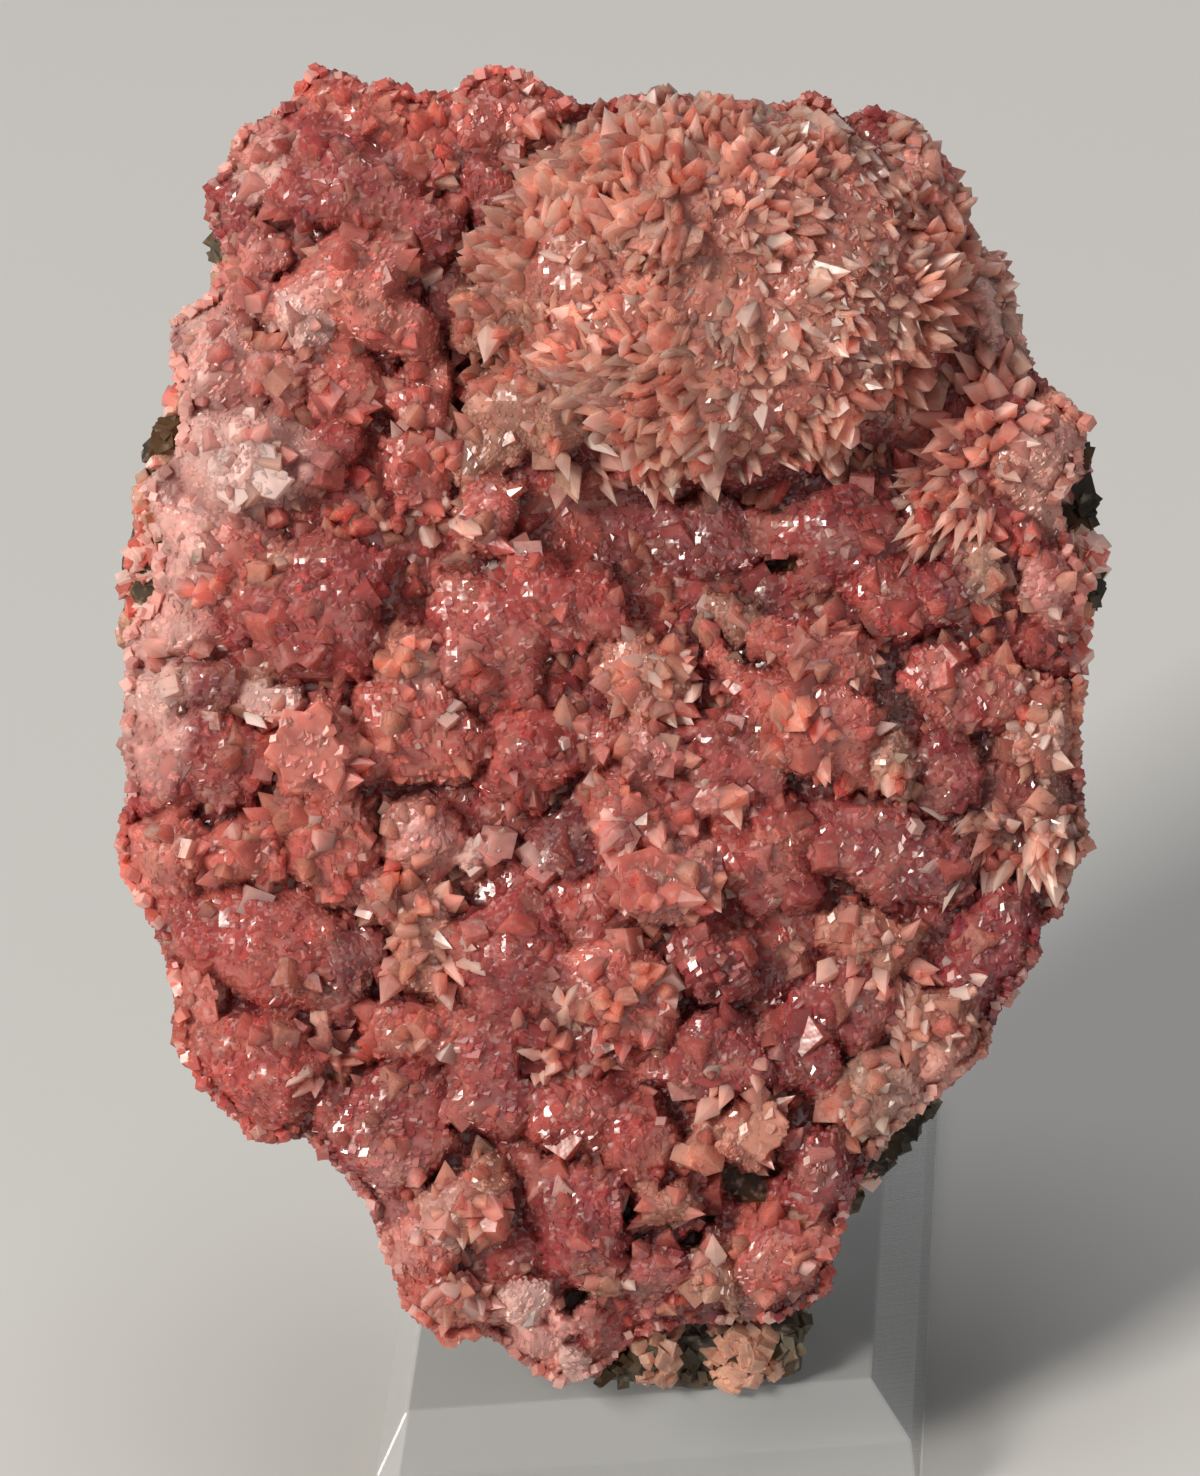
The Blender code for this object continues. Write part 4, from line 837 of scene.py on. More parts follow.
def tone_at(u, v):
    """Linear colour and frost of the crust at each point, with painted shade in its recesses."""
    owner = owner_at(u, v)
    own = LUMP_TONES[np.clip(owner, 0, None)]
    found = np.where((owner >= 0)[..., None], own, bed_tone(u, v))
    found = blend(found, region_tone(u, v), REGION_SHARE)
    _, cell = cone_noise(u, v, DRIFT_PITCH, seed=17)
    pick = by_cell(np.random.default_rng(18).integers(0, len(DRIFT), CELLS), cell)
    found = blend(found, tones(DRIFT)[pick], DRIFT_SHARE)
    pale = blend(tone("frosted"), tone("pink"), 0.5)
    for cu, cv, reach_u, reach_v, most in PALE_PATCHES:
        near = oval(u, v, (cu, cv), (reach_u, reach_v))
        found = blend(found, pale, (most * np.minimum(near * PALE_STEEPNESS, 1.0))[..., None])
    # Painted shade: darker colour in the recesses.
    found = found * (1.0 - at(RECESS_PAINTED_SHADE, u, v)[..., None] * np.array(PAINTED_SHADE_LOSS))
    return np.where((owner == OPENING)[..., None], tone("limonite"), found)


def picked_tones(rng, chances, count):
    """A random tone for each crystal; chances gives each tone's part."""
    return tones(chances)[rng.choice(len(chances), count, p=tuple(chances.values()))]


def pale_or_deep(colour, rng):
    """A crystal's own tone: now and then frosted, redder or darker than its neighbours."""
    chance = rng.random()
    for bound, name, share in ODD_TONES:
        if chance < bound:
            return blend(colour, tone(name), share)
    return colour


# Meshes


def link(obj, material, replaced=None):
    """Puts a finished piece into the scene with its material, on the root body, and hides the CAD
    part that it replaces.
    """
    bpy.context.scene.collection.objects.link(obj)
    obj.data.materials.append(material)
    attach(obj, "root")
    if replaced:
        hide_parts(replaced)
    return obj


def bake_layer(mesh, points, corners):
    """The OFBake layer: u and v of the face frame, shrunk to a unit square."""
    flat = (points[:, :2] + BAKE_BEFORE) / BAKE_SPAN
    layer = mesh.uv_layers.new(name="OFBake")
    layer.uv.foreach_set("vector", flat[corners].astype(np.float32).ravel())


def mesh_from(name, co, face_sets, tints):
    """An object of points in the face frame and arrays of faces, with a tint for each point."""
    mesh = bpy.data.meshes.new(name)
    mesh.vertices.add(len(co))
    mesh.vertices.foreach_set("co", to_room(co).ravel())
    corners = np.concatenate([f.ravel() for f in face_sets])
    sizes = np.concatenate([np.full(len(f), f.shape[1]) for f in face_sets])
    starts = np.concatenate(((0,), np.cumsum(sizes)[:-1]))
    mesh.loops.add(len(corners))
    mesh.loops.foreach_set("vertex_index", corners)
    mesh.polygons.add(len(sizes))
    mesh.polygons.foreach_set("loop_start", starts)
    mesh.update(calc_edges=True)
    mesh.shade_flat()
    tint = mesh.attributes.new("tint", "FLOAT_VECTOR", "POINT")
    tint.data.foreach_set("vector", np.ascontiguousarray(tints[:, :3]).ravel())
    frost = mesh.attributes.new("frost", "FLOAT", "POINT")
    frost.data.foreach_set("value", np.ascontiguousarray(tints[:, 3]))
    bake_layer(mesh, co, corners)
    mesh.validate()
    return bpy.data.objects.new(name, mesh)


def turned_axes(directions, reference, turns):
    """Axes for many crystals: their length runs along the directions."""
    z = normalised(directions)
    x = normalised(np.cross(np.cross(z, reference), z))
    y = np.cross(z, x)
    c, s = np.cos(turns)[:, None], np.sin(turns)[:, None]
    return np.stack((x * c + y * s, y * c - x * s, z), axis=1)


def crystals(name, template, places, directions, turns, sizes, tints,
             lowest=-math.inf, reference=(0.0, 1.0, 0.0), painted_root_shade_and_tip_light=False):
    """A piece of many copies of one crystal, cut off at the lowest w. With the last flag set, each
    has painted shade, darker towards its root, and painted light, paler towards its tip."""
    points, faces = template
    count, corners = len(places), len(points)
    axes = turned_axes(directions, reference, turns)
    local = points[None, :, :] * sizes[:, None, :]
    co = np.einsum("nki,nij->nkj", local, axes) + places[:, None, :]
    co = co.reshape(-1, 3)
    co[:, 2] = np.maximum(co[:, 2], lowest)
    shift = (np.arange(count) * corners)[:, None, None]
    sets = [(np.asarray(f)[None, :, :] + shift).reshape(-1, len(f[0])) for f in faces]
    colours = np.repeat(tints, corners, axis=0)
    # Painted shade towards each crystal's root and painted light towards its tip.
    if painted_root_shade_and_tip_light:
        rise = np.clip(points[:, 2], ROOT_END, 1.0)
        shade = ROOT_PAINTED_SHADE + (TIP_PAINTED_LIGHT - ROOT_PAINTED_SHADE) * (rise - ROOT_END) / (1.0 - ROOT_END)
        colours[:, :3] *= np.tile(shade, count)[:, None]
    return mesh_from(name, co, sets, colours)


def cube_corners():
    return np.array([(x, y, z) for x in (-1, 1) for y in (-1, 1) for z in (-1, 1)], float)


def rhomb_template():
    """A rhombohedron on its corner, one unit in radius."""
    z = np.ones(3) / math.sqrt(3.0)
    x = np.array((1.0, -1.0, 0.0)) / math.sqrt(2.0)
    y = np.cross(z, x)
    points = cube_corners() @ np.stack((x, y, z)).T / RHOMB_GIRTH
    faces = [(0, 1, 3, 2), (4, 6, 7, 5), (0, 4, 5, 1), (2, 3, 7, 6), (0, 2, 6, 4), (1, 5, 7, 3)]
    return points, [faces]


def chip_template():
    """An angular chip: a cube with its corners pulled about."""
    rng = np.random.default_rng(5)
    points = cube_corners()
    points = points * rng.uniform(0.5, 1.0, points.shape)
    triangles = []
    for a, b, c, d in rhomb_template()[1][0]:
        triangles += [(a, b, c), (a, c, d)]
    return points, [triangles]


def ring(height, radius, zigzag=0.0):
    """Six points round a crystal's length, every other one higher."""
    points = []
    for k in range(6):
        angle = math.pi * k / 3
        rise = height + (zigzag if k % 2 else -zigzag)
        points.append((radius * math.cos(angle), radius * math.sin(angle), rise))
    return points


def fan(tip, first, outward):
    """Six triangles between a tip and the ring that starts at the first point."""
    pairs = [(first + k, first + (k + 1) % 6) for k in range(6)]
    return [(tip, a, b) if outward else (tip, b, a) for a, b in pairs]


def spike_template():
    """Two steep six-sided pyramids on one zigzag girdle."""
    points = [(0.0, 0.0, -0.5), (0.0, 0.0, 1.0)] + ring(0.30, 1.0, zigzag=0.10)
    return np.array(points), [fan(1, 2, True) + fan(0, 2, False)]


def blade_template():
    """A flattened six-sided blade with a slanting end."""
    points = ring(-0.3, 0.6) + ring(0.38, 1.0) + ring(0.76, 0.60, zigzag=0.05)
    points += [(0.18, 0.0, 1.0), (0.0, 0.0, -0.4)]
    sides = []
    for low in (0, 6):
        for k in range(6):
            j = (k + 1) % 6
            sides.append((low + k, low + j, low + 6 + j, low + 6 + k))
    return np.array(points), [fan(18, 12, True) + fan(19, 0, False), sides]


def cells_round(cells):
    """The four cells round each point of the grid."""
    padded = np.pad(cells, 1)
    return padded[:-1, :-1], padded[1:, :-1], padded[:-1, 1:], padded[1:, 1:]


def crust_bed():
    """The crust's own body: an uneven front, a thin rim and a flat back."""
    u, v = np.meshgrid(US, VS, indexing="ij")
    kept = inside_edge(u, v)
    cells = kept[:-1, :-1] & kept[1:, :-1] & kept[:-1, 1:] & kept[1:, 1:]
    for _ in range(CROSSING_TRIES):
        a, b, c, d = cells_round(cells)
        crossed = (a & d & ~b & ~c) | (b & c & ~a & ~d)
        if not crossed.any():
            break
        cells &= ~(crossed[:-1, :-1] | crossed[1:, 1:] | crossed[:-1, 1:] | crossed[1:, :-1])
    around = sum(part.astype(int) for part in cells_round(cells))
    used = around > 0
    number = np.full(kept.shape, -1)
    number[used] = np.arange(used.sum())
    on_border = around[used] < 4
    _, near_u, near_v = edge_distance(u[used], v[used])
    w = np.where(on_border, np.clip(HEIGHT[used], *RIM_LEVELS), HEIGHT[used])
    front = np.stack((
        np.where(on_border, near_u, u[used]), np.where(on_border, near_v, v[used]), w), axis=1)
    cu, cv = np.nonzero(cells)
    quads = np.stack((
        number[cu, cv], number[cu + 1, cv], number[cu + 1, cv + 1], number[cu, cv + 1]), axis=1)
    obj = mesh_from("crust_bed", front, [quads], tone_at(u[used], v[used]))
    bm = bmesh.new()
    bm.from_mesh(obj.data)
    edges = [e for e in bm.edges if e.is_boundary]
    made = bmesh.ops.extrude_edge_only(bm, edges=edges)["geom"]
    out = Vector(OUT)
    origin = Vector(ORIGIN)
    for vert in made:
        if isinstance(vert, bmesh.types.BMVert):
            rise = (vert.co / MM - origin).dot(out) - CRUST_BACK
            vert.co -= out * rise * MM
    hem = [g for g in made if isinstance(g, bmesh.types.BMEdge) and g.is_boundary]
    bmesh.ops.contextual_create(bm, geom=hem)
    bmesh.ops.triangulate(bm, faces=[f for f in bm.faces if len(f.verts) > 4])
    bmesh.ops.recalc_face_normals(bm, faces=bm.faces)
    bm.to_mesh(obj.data)
    bm.free()
    return obj


def scattered(seed, pitch):
    """Scattered points over the crust, denser where its surface is steep."""
    rng = np.random.default_rng(seed)
    u, v = np.meshgrid(np.arange(-34.0, 34.5, pitch), np.arange(0.0, 90.5, pitch), indexing="ij")
    u, v = np.tile(u.ravel(), STEEPEST), np.tile(v.ravel(), STEEPEST)
    u = u + rng.uniform(-0.5, 0.5, len(u)) * pitch
    v = v + rng.uniform(-0.5, 0.5, len(v)) * pitch
    steep = np.sqrt(1.0 + at(SLOPE_U, u, v) ** 2 + at(SLOPE_V, u, v) ** 2)
    keep = rng.random(len(u)) < np.minimum(steep, STEEPEST) / STEEPEST
    keep &= inside_edge(u, v)
    return u[keep], v[keep]


def fine_crystals():
    """Small rhombohedra all over the crust; those on one lump lie nearly parallel."""
    rng = np.random.default_rng(33)
    u, v = scattered(31, FINE_PITCH)
    owner = owner_at(u, v)
    grain = np.where(owner >= 0, LUMP_GRAIN[np.clip(owner, 0, None)], BED_GRAIN)
    thin = np.clip((FINE_PITCH / grain) ** 2, 0.3, 1.0)
    keep = (rng.random(len(u)) < thin) & (owner != OPENING)
    u, v, owner, grain = u[keep], v[keep], owner[keep], grain[keep]
    count, groups, on_lump = len(u), len(LUMPS) + 1, owner >= 0
    normal = normal_at(u, v)
    lean_u = rng.normal(0.0, LUMP_LEAN, groups)
    lean_v = rng.normal(0.1, LUMP_LEAN, groups)
    lean = normalised(np.stack((lean_u, lean_v, np.ones(groups)), axis=1))[owner]
    share = np.where(on_lump, 0.6, 0.15)[:, None]
    directions = normal * (1.0 - share) + lean * share + rng.normal(0.0, 0.10, (count, 3))
    turns = rng.random(groups)[owner] * THIRD_TURN + rng.normal(0.0, 0.14, count)
    turns = np.where(on_lump, turns, rng.uniform(0.0, FULL_TURN, count))
    radius = grain * np.exp(rng.normal(0.0, 0.25, count)) * FINE_GIRTH
    stretch = rng.uniform(0.42, 0.85, count)
    sizes = np.stack((radius, radius, radius * stretch), axis=1)
    places = surface_at(u, v) - normal * (radius * stretch * FINE_SINK)[:, None]
    tints = tone_at(u, v)
    tints[:, :3] *= np.exp(rng.normal(0.0, 0.08, (count, 1)))
    pale = rng.random(count) < 0.03
    tints[pale] = blend(tints[pale], tone("frosted"), 0.55)
    made = []
    for side, low, high in (("left", -99, -9), ("middle", -9, 9), ("right", 9, 99)):
        for half, chosen in (("lower", v < MIDDLE_V), ("upper", v >= MIDDLE_V)):
            mine = chosen & (u >= low) & (u < high)
            made.append(crystals(
                f"fine_crystals_{half}_{side}", rhomb_template(),
                places[mine], directions[mine], turns[mine], sizes[mine], tints[mine]))
    return made


def rim_crystals():
    """Crystals that stand out of the crust's edge, from its back up to the front's own level."""
    rng = np.random.default_rng(51)
    rows = []
    for a, b in zip(EDGE, np.roll(EDGE, -1, axis=0)):
        along = b - a
        length = np.linalg.norm(along)
        out = np.array((-along[1], along[0])) / length
        inner = (a + b) / 2 - out * RIM_DEPTH
        top = max(CRUST_RIM + RIM_DEPTH, float(at(HEIGHT, inner[:1], inner[1:])[0]))
        for _ in range(int(length * (top - CRUST_BACK) * RIM_CLOSENESS) + 1):
            spot = a + along * rng.random()
            w = rng.uniform(CRUST_BACK + 0.35, top)
            rise = max(0.0, w - CRUST_RIM)
            inset = rng.uniform(0.12, 0.34 + 0.12 * min(rise, 3.0))
            upward = rng.uniform(-0.1, 1.0)
            radius = rng.uniform(0.24, 0.5) * (1.0 + 0.12 * rise)
            rows.append((*(spot - out * inset), w, *out, upward, *(spot - out * 1.2), radius))
    data = np.array(rows)
    count = len(data)
    tints = tone_at(data[:, 6], data[:, 7])
    pale = rng.random(count) < 0.2
    tints[pale] = blend(tints[pale], tone("frosted"), 0.5)
    directions = data[:, 3:6] + rng.normal(0.0, 0.3, (count, 3))
    turns = rng.uniform(0.0, FULL_TURN, count)
    radius = data[:, 8]
    sizes = np.stack((radius, radius, radius * rng.uniform(0.7, 1.2, count)), axis=1)
    return crystals(
        "rim_crystals", rhomb_template(), data[:, 0:3], directions, turns, sizes, tints,
        lowest=CRUST_BACK, reference=(0.0, 0.0, 1.0))


def on_tones(owner, names):
    """Which points lie on a lump of one of the tones."""
    return np.isin(owner, [i for i, row in enumerate(LUMPS) if row[6] in names])


def middling_crystals():
    """Angular crystals of one to three millimetres, close-set in patches and sparse elsewhere."""
    rng = np.random.default_rng(61)
    u, v = scattered(62, MIDDLING_PITCH)
    patch = smooth_noise(u, v, 5.2, seed=64) + 0.5 * smooth_noise(u, v, 2.4, seed=65)
    owner = owner_at(u, v)
    deep = on_tones(owner, DEEP)
    chance = np.clip(0.34 + 0.75 * patch, 0.05, 0.8)
    on_others = np.where(owner < 0, chance, chance * 0.45)
    chance = np.where(on_tones(owner, PATCHY), np.maximum(chance, 0.42), on_others)
    chance = np.where(deep, chance * 0.6, chance) * MIDDLING_CLOSENESS
    keep = (owner != OPENING) & (rng.random(len(u)) < chance) & (crown_share(u, v) < 0.25)
    u, v, deep = u[keep], v[keep], deep[keep]
    count = len(u)
    normal = normal_at(u, v)
    sway_u, sway_v = smooth_noise(u, v, 3.0, seed=66), smooth_noise(u, v, 3.0, seed=67)
    sway = np.stack((sway_u, sway_v, np.zeros(count)), axis=1)
    directions = normal + np.array((0.0, -0.05, 0.45)) + 0.7 * sway
    directions = directions + rng.normal(0.0, 0.24, (count, 3))
    turns = rng.uniform(0.0, FULL_TURN, count)
    shorter = np.clip(0.4 + 0.25 * edge_distance(u, v)[0], 0.0, 1.0)
    length = rng.uniform(*MIDDLING_LENGTH, count) * shorter
    share = np.where(deep, 0.8, 0.45)[:, None]
    tints = blend(picked_tones(rng, MIDDLING_TONES, count), tone_at(u, v), share)
    surface = surface_at(u, v)
    pointed = rng.random(count) < 0.6
    made = [coarse_crystals()]
    for name, template, mine, girth, sink in (
        ("pointed_crystals", spike_template(), pointed, (0.28, 0.44), 0.36),
        ("blocky_crystals", rhomb_template(), ~pointed, (0.30, 0.46), 0.10),
    ):
        number = int(mine.sum())
        long = length[mine]
        radius = long * rng.uniform(*girth, number)
        tall = long if name == "pointed_crystals" else radius * rng.uniform(0.7, 1.2, number)
        sizes = np.stack((radius, radius * rng.uniform(0.7, 1.0, number), tall), axis=1)
        made.append(crystals(
            name, template, surface[mine] - normal[mine] * (sink * long)[:, None],
            directions[mine], turns[mine], sizes, tints[mine], lowest=CRYSTAL_FOOT, painted_root_shade_and_tip_light=True))
    return made


def coarse_crystals():
    """Plain-faced rhombohedra of two to four millimetres, grown half into the lumps."""
    rng = np.random.default_rng(41)
    u, v = scattered(42, COARSE_PITCH)
    keep = (owner_at(u, v) != OPENING) & (rng.random(len(u)) < 0.34) & (crown_share(u, v) < 0.2)
    keep &= edge_distance(u, v)[0] > 2.0
    u, v = u[keep], v[keep]
    count = len(u)
    normal = normal_at(u, v)
    directions = normal + np.array((0.0, 0.0, 0.5)) + rng.normal(0.0, 0.3, (count, 3))
    turns = rng.uniform(0.0, FULL_TURN, count)
    radius = rng.uniform(*COARSE_RADIUS, count)
    sizes = np.stack((radius, radius * rng.uniform(0.6, 1.0, count), radius * 0.85), axis=1)
    places = surface_at(u, v) - normal * (radius * rng.uniform(0.25, 0.5, count))[:, None]
    tints = blend(picked_tones(rng, COARSE_TONES, count), tone_at(u, v), 0.5)
    return crystals(
        "coarse_crystals", rhomb_template(), places, directions, turns, sizes, tints,
        lowest=CRYSTAL_FOOT)


def planted(name, rows, template, sink, flat, seed):
    """Crystals set in the crust: u, v, lean along u and v, length, radius and tone in each row.
    Each one's thickness is its width times a random share from the two in flat."""
    rng = np.random.default_rng(seed)
    data = np.array(rows)
    away = edge_distance(data[:, 0], data[:, 1])[0]
    data[:, 4] *= np.clip(0.45 + 0.25 * away, 0.0, 1.0)
    data = data[inside_edge(data[:, 0], data[:, 1]) & (away > 0.5)]
    u, v, _, _, long, wide = data[:, :6].T
    count = len(data)
    surface = np.minimum(at(HEIGHT, u, v), crust_level(u, v) + PLANTED_RISE)
    directions = np.stack((data[:, 2], data[:, 3], np.ones(count)), axis=1)
    turns = rng.uniform(0.0, FULL_TURN, count)
    sizes = np.stack((wide, wide * rng.uniform(*flat, count), long), axis=1)
    return crystals(
        name, template, np.stack((u, v, surface - sink), axis=1), directions, turns, sizes,
        data[:, 6:10], lowest=CRYSTAL_FOOT, painted_root_shade_and_tip_light=True)


def crown_crystals():
    """The crown at the top right: close-set blades and teeth that spread from its middle."""
    rng = np.random.default_rng(73)
    (cu, cv), (ru, rv) = CROWN_CENTRE, CROWN_REACH
    own = tone("peach") * 0.40 + tone("beige") * 0.38 + tone("frosted") * 0.22
    teeth, blades = [], []
    for u0 in np.arange(cu - ru, cu + ru, CROWN_SPACING):
        for v0 in np.arange(cv - rv, cv + rv, CROWN_SPACING):
            u = u0 + rng.uniform(-0.5, 0.5) * CROWN_SPACING
            v = v0 + rng.uniform(-0.5, 0.5) * CROWN_SPACING
            du, dv = (u - cu) / ru, (v - cv) / rv
            away = math.hypot(du, dv)
            ragged = noise_here(u, v, 4.5, seed=78) + 0.6 * noise_here(u, v, 1.8, seed=79)
            if away + CROWN_RAGGED * ragged > rng.uniform(0.82, 1.0):
                continue
            sway_u = noise_here(u, v, CROWN_CLUSTER, seed=96)
            sway_v = noise_here(u, v, CROWN_CLUSTER, seed=97)
            size = 1.0 + 0.25 * noise_here(u, v, 2.6, seed=98)
            spread = 0.8 * (0.4 + away)
            lean_u = spread * du + CROWN_SWAY * sway_u + rng.normal(0.0, 0.30)
            lean_v = spread * dv + CROWN_SWAY * sway_v + rng.normal(0.0, 0.30) - 0.2
            long = rng.uniform(*CROWN_LENGTH) * size
            wide = rng.uniform(*CROWN_RADIUS) * size
            colour = pale_or_deep(own, rng) * (0.84 + 0.12 * sway_v + 0.06 * sway_u)
            row = (u, v, lean_u, lean_v, long, wide, *colour)
            (blades if rng.random() < 0.5 else teeth).append(row)
    return [
        planted("crown_teeth", teeth, spike_template(), sink=1.8, flat=(0.6, 0.95), seed=74),
        planted("crown_blades", blades, blade_template(), sink=1.6, flat=(0.35, 0.6), seed=75),
    ]


def spray_crystals():
    """The smaller sprays of pointed crystals, and the single ones that stand out."""
    rng = np.random.default_rng(71)
    rows = []
    for cu, cv, reach_u, reach_v, number, length, radius, lean_u, lean_v, spread, name in SPRAYS:
        for i in range(number):
            away = math.sqrt((i + 0.5) / number)
            around = i * GOLDEN_ANGLE + rng.uniform(-0.9, 0.9)
            du, dv = away * math.cos(around), away * math.sin(around)
            lean = (
                lean_u + spread * du + rng.normal(0.0, 0.35),
                lean_v + spread * dv + rng.normal(0.0, 0.35),
            )
            long = length * rng.uniform(0.6, 1.05)
            wide = radius * rng.uniform(0.8, 1.35)
            colour = pale_or_deep(blend(tone(name), tone("frosted"), 0.4), rng)
            rows.append((cu + du * reach_u, cv + dv * reach_v, *lean, long, wide, *colour))
    for *row, name in SINGLE_CRYSTALS:
        rows.append((*row, *tone(name)))
    return [planted("spray_crystals", rows, spike_template(), sink=0.9, flat=(0.5, 0.85), seed=72)]


def plate_crystals():
    """Flat crystals that face the viewer, each with a narrow bevel round its face."""
    co, caps, sides, tints = [], {}, [], []
    for corners, rise, slope, name in PLATES:
        outline = np.array(corners)
        after = np.roll(outline, -1, axis=0)
        if (outline[:, 0] * after[:, 1] - after[:, 0] * outline[:, 1]).sum() < 0:
            outline = outline[::-1]
        centre = outline.mean(axis=0)
        base = level_at(centre)
        count, start = len(outline), len(co)
        for shrink, drop in PLATE_RINGS:
            for p in outline:
                q = centre + (p - centre) * shrink
                w = base + rise - drop - (q - centre) @ np.array(slope)
                co.append((q[0], q[1], max(w, CRUST_BACK + 0.3)))
                tints.append(blend(tone(name), tone_at(q[:1], q[1:])[0], 0.2))
        ends = caps.setdefault(count, [])
        ends.append([start + k for k in range(count)])
        ends.append([start + 2 * count + k for k in reversed(range(count))])
        for a in (start, start + count):
            b = a + count
            for k in range(count):
                j = (k + 1) % count
                sides.append((a + j, a + k, b + k, b + j))
    sets = [np.array(group) for group in caps.values()] + [np.array(sides)]
    return mesh_from("plate_crystals", np.array(co), sets, np.array(tints))


def plate_grains():
    """Low crystals that break up the faces of the plates."""
    rng = np.random.default_rng(83)
    places, normals, tints = [], [], []
    for corners, rise, slope, name in PLATES:
        outline = np.array(corners)
        centre = outline.mean(axis=0)
        base = level_at(centre)
        for a, b in zip(outline, np.roll(outline, -1, axis=0)):
            for _ in range(PLATE_GRAINS):
                reach, along = 0.97 * math.sqrt(rng.random()), rng.random()
                q = centre + (a * along + b * (1.0 - along) - centre) * reach
                w = base + rise - (q - centre) @ np.array(slope)
                places.append((q[0], q[1], w - rng.uniform(0.05, 0.2)))
                normals.append((*slope, 1.0))
                tints.append(blend(tone(name), tone_at(q[:1], q[1:])[0], 0.3))
    count = len(places)
    directions = np.array(normals) + rng.normal(0.0, 0.12, (count, 3))
    turns = rng.normal(0.6, 0.3, count)
    radius = rng.uniform(0.25, 0.6, count)
    sizes = np.stack((radius, radius, radius * 0.5), axis=1)
    return crystals(
        "plate_grains", rhomb_template(), np.array(places), directions, turns, sizes,
        np.array(tints))


def fractal(points, scale, octaves):
    """Smooth noise from -1 to 1 at each point."""
    return np.array([
        noise.fractal(Vector(p) * scale, 0.8, 2.1, octaves, noise_basis="PERLIN_ORIGINAL")
        for p in points
    ])


def host_rock():
    """The host rock: the CAD solid's form with a broken, grainy surface."""
    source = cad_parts["rock_matrix"]
    rock = bpy.data.objects.new("host_rock", source.data.copy())
    rock.data.materials.clear()
    bpy.context.scene.collection.objects.link(rock)
    change = rock.modifiers.new("remesh", "REMESH")
    change.mode = "VOXEL"
    change.voxel_size = ROCK_VOXEL * MM
    made = bpy.data.meshes.new_from_object(
        rock.evaluated_get(bpy.context.evaluated_depsgraph_get()))
    bpy.data.objects.remove(rock)
    co = np.zeros(len(made.vertices) * 3)
    made.vertices.foreach_get("co", co)
    normals = np.zeros(len(co))
    made.vertex_normals.foreach_get("vector", normals)
    corner = np.zeros(len(made.loops), int)
    made.loops.foreach_get("vertex_index", corner)
    co, normals = co.reshape(-1, 3), normals.reshape(-1, 3)
    face = (co / MM - ORIGIN) @ FACE.T
    rough = 0.5 * fractal(co, 260.0, 3) + 0.35 * np.abs(fractal(co + 3.0, 700.0, 2)) - 0.25
    amount = np.where(np.abs(normals @ OUT) > 0.8, ROUGH_FLAT, ROUGH_EDGE)
    amount = amount * np.clip((co[:, 2] / MM - FOOT_LEVEL) / 1.2, 0.0, 1.0)
    shift = np.clip(rough, -1.0, 0.15) * amount
    co = co + normals * (shift * MM)[:, None]
    co[:, 2] = np.maximum(co[:, 2], FOOT_LEVEL * MM)
    made.vertices.foreach_set("co", co.ravel())
    made.update()
    bake_layer(made, face, corner)
    made.name = "host_rock"
    return bpy.data.objects.new("host_rock", made)


def on_rock(rock, spots):
    """Where a line through the face at each spot meets the rock's front: w and normal, or None."""
    tree = BVHTree.FromPolygons(
        [tuple(x.co) for x in rock.data.vertices], [tuple(f.vertices) for f in rock.data.polygons])
    found = []
    for u, v in spots:
        place, normal, _, _ = tree.ray_cast(Vector(to_room((u, v, 12.0))), -Vector(OUT))
        if place is None:
            found.append(None)
        else:
            w = (np.array(place) / MM - ORIGIN) @ OUT
            found.append((float(w), np.array(normal) @ FACE.T))
    return found


def ledge_spots(rng):
    """Scattered points between the crust's edge and the specimen's outline."""
    spots = []
    outline = np.array(OUTLINE)
    for a, b in zip(outline, np.roll(outline, -1, axis=0)):
        along = b - a
        length = np.linalg.norm(along)
        inner = np.array((along[1], -along[0])) / length
        for _ in range(int(length * LEDGE_CLOSENESS)):
            spot = a + along * rng.random()
            depth = draw_back(*spot)
            low = spot[1] < FOOT_TOP
            if depth > 0.3 or low and FOOT_LEFT < spot[0] < FOOT_RIGHT:
                spots.append(spot + inner * rng.uniform(0.25, max(depth, 4.5 if low else 0.6)))
    return spots


def ledge_pieces(rock):
    """What shows past the crust's edge: chips of rock, and crystals that grew on the rock."""
    rng = np.random.default_rng(85)
    spots = ledge_spots(rng)
    chips, grown = [], []
    for (u, v), hit in zip(spots, on_rock(rock, spots)):
        if hit is None or inside_edge(np.array(u), np.array(v)):
            continue
        w, normal = hit
        patch = noise_here(u, v, 2.6, seed=99)
        foot = v < FOOT_TOP
        size = rng.uniform(0.45, 1.05) if foot else rng.uniform(0.45, 1.1)
        if foot and (patch > 0.3 or u > 11.2 or 4.8 < u < 6.6):
            chips.append((u, v, w, *normal, size * 0.8, *tone("dark")))
        elif patch > 0.05 and not foot:
            chips.append((u, v, w, *normal, size, *tone("dark")))
        else:
            name = LEDGE_TONES[rng.integers(len(LEDGE_TONES))]
            if foot:
                name = "pink" if u < 0.8 else "beige"
            grown.append((u, v, w, *normal, size, *tone(name)))
    made = []
    for name, rows, template in (
        ("rock_chips", chips, chip_template()),
        ("ledge_crystals", grown, rhomb_template()),
    ):
        data = np.array(rows)
        count = len(data)
        directions = data[:, 3:6] + (0.0, 0.0, 0.6) + rng.normal(0.0, 0.45, (count, 3))
        turns = rng.uniform(0.0, FULL_TURN, count)
        sizes = data[:, 6:7] * rng.uniform(0.6, 1.15, (count, 3))
        made.append(crystals(
            name, template, data[:, 0:3], directions, turns, sizes, data[:, 7:11]))
    return made


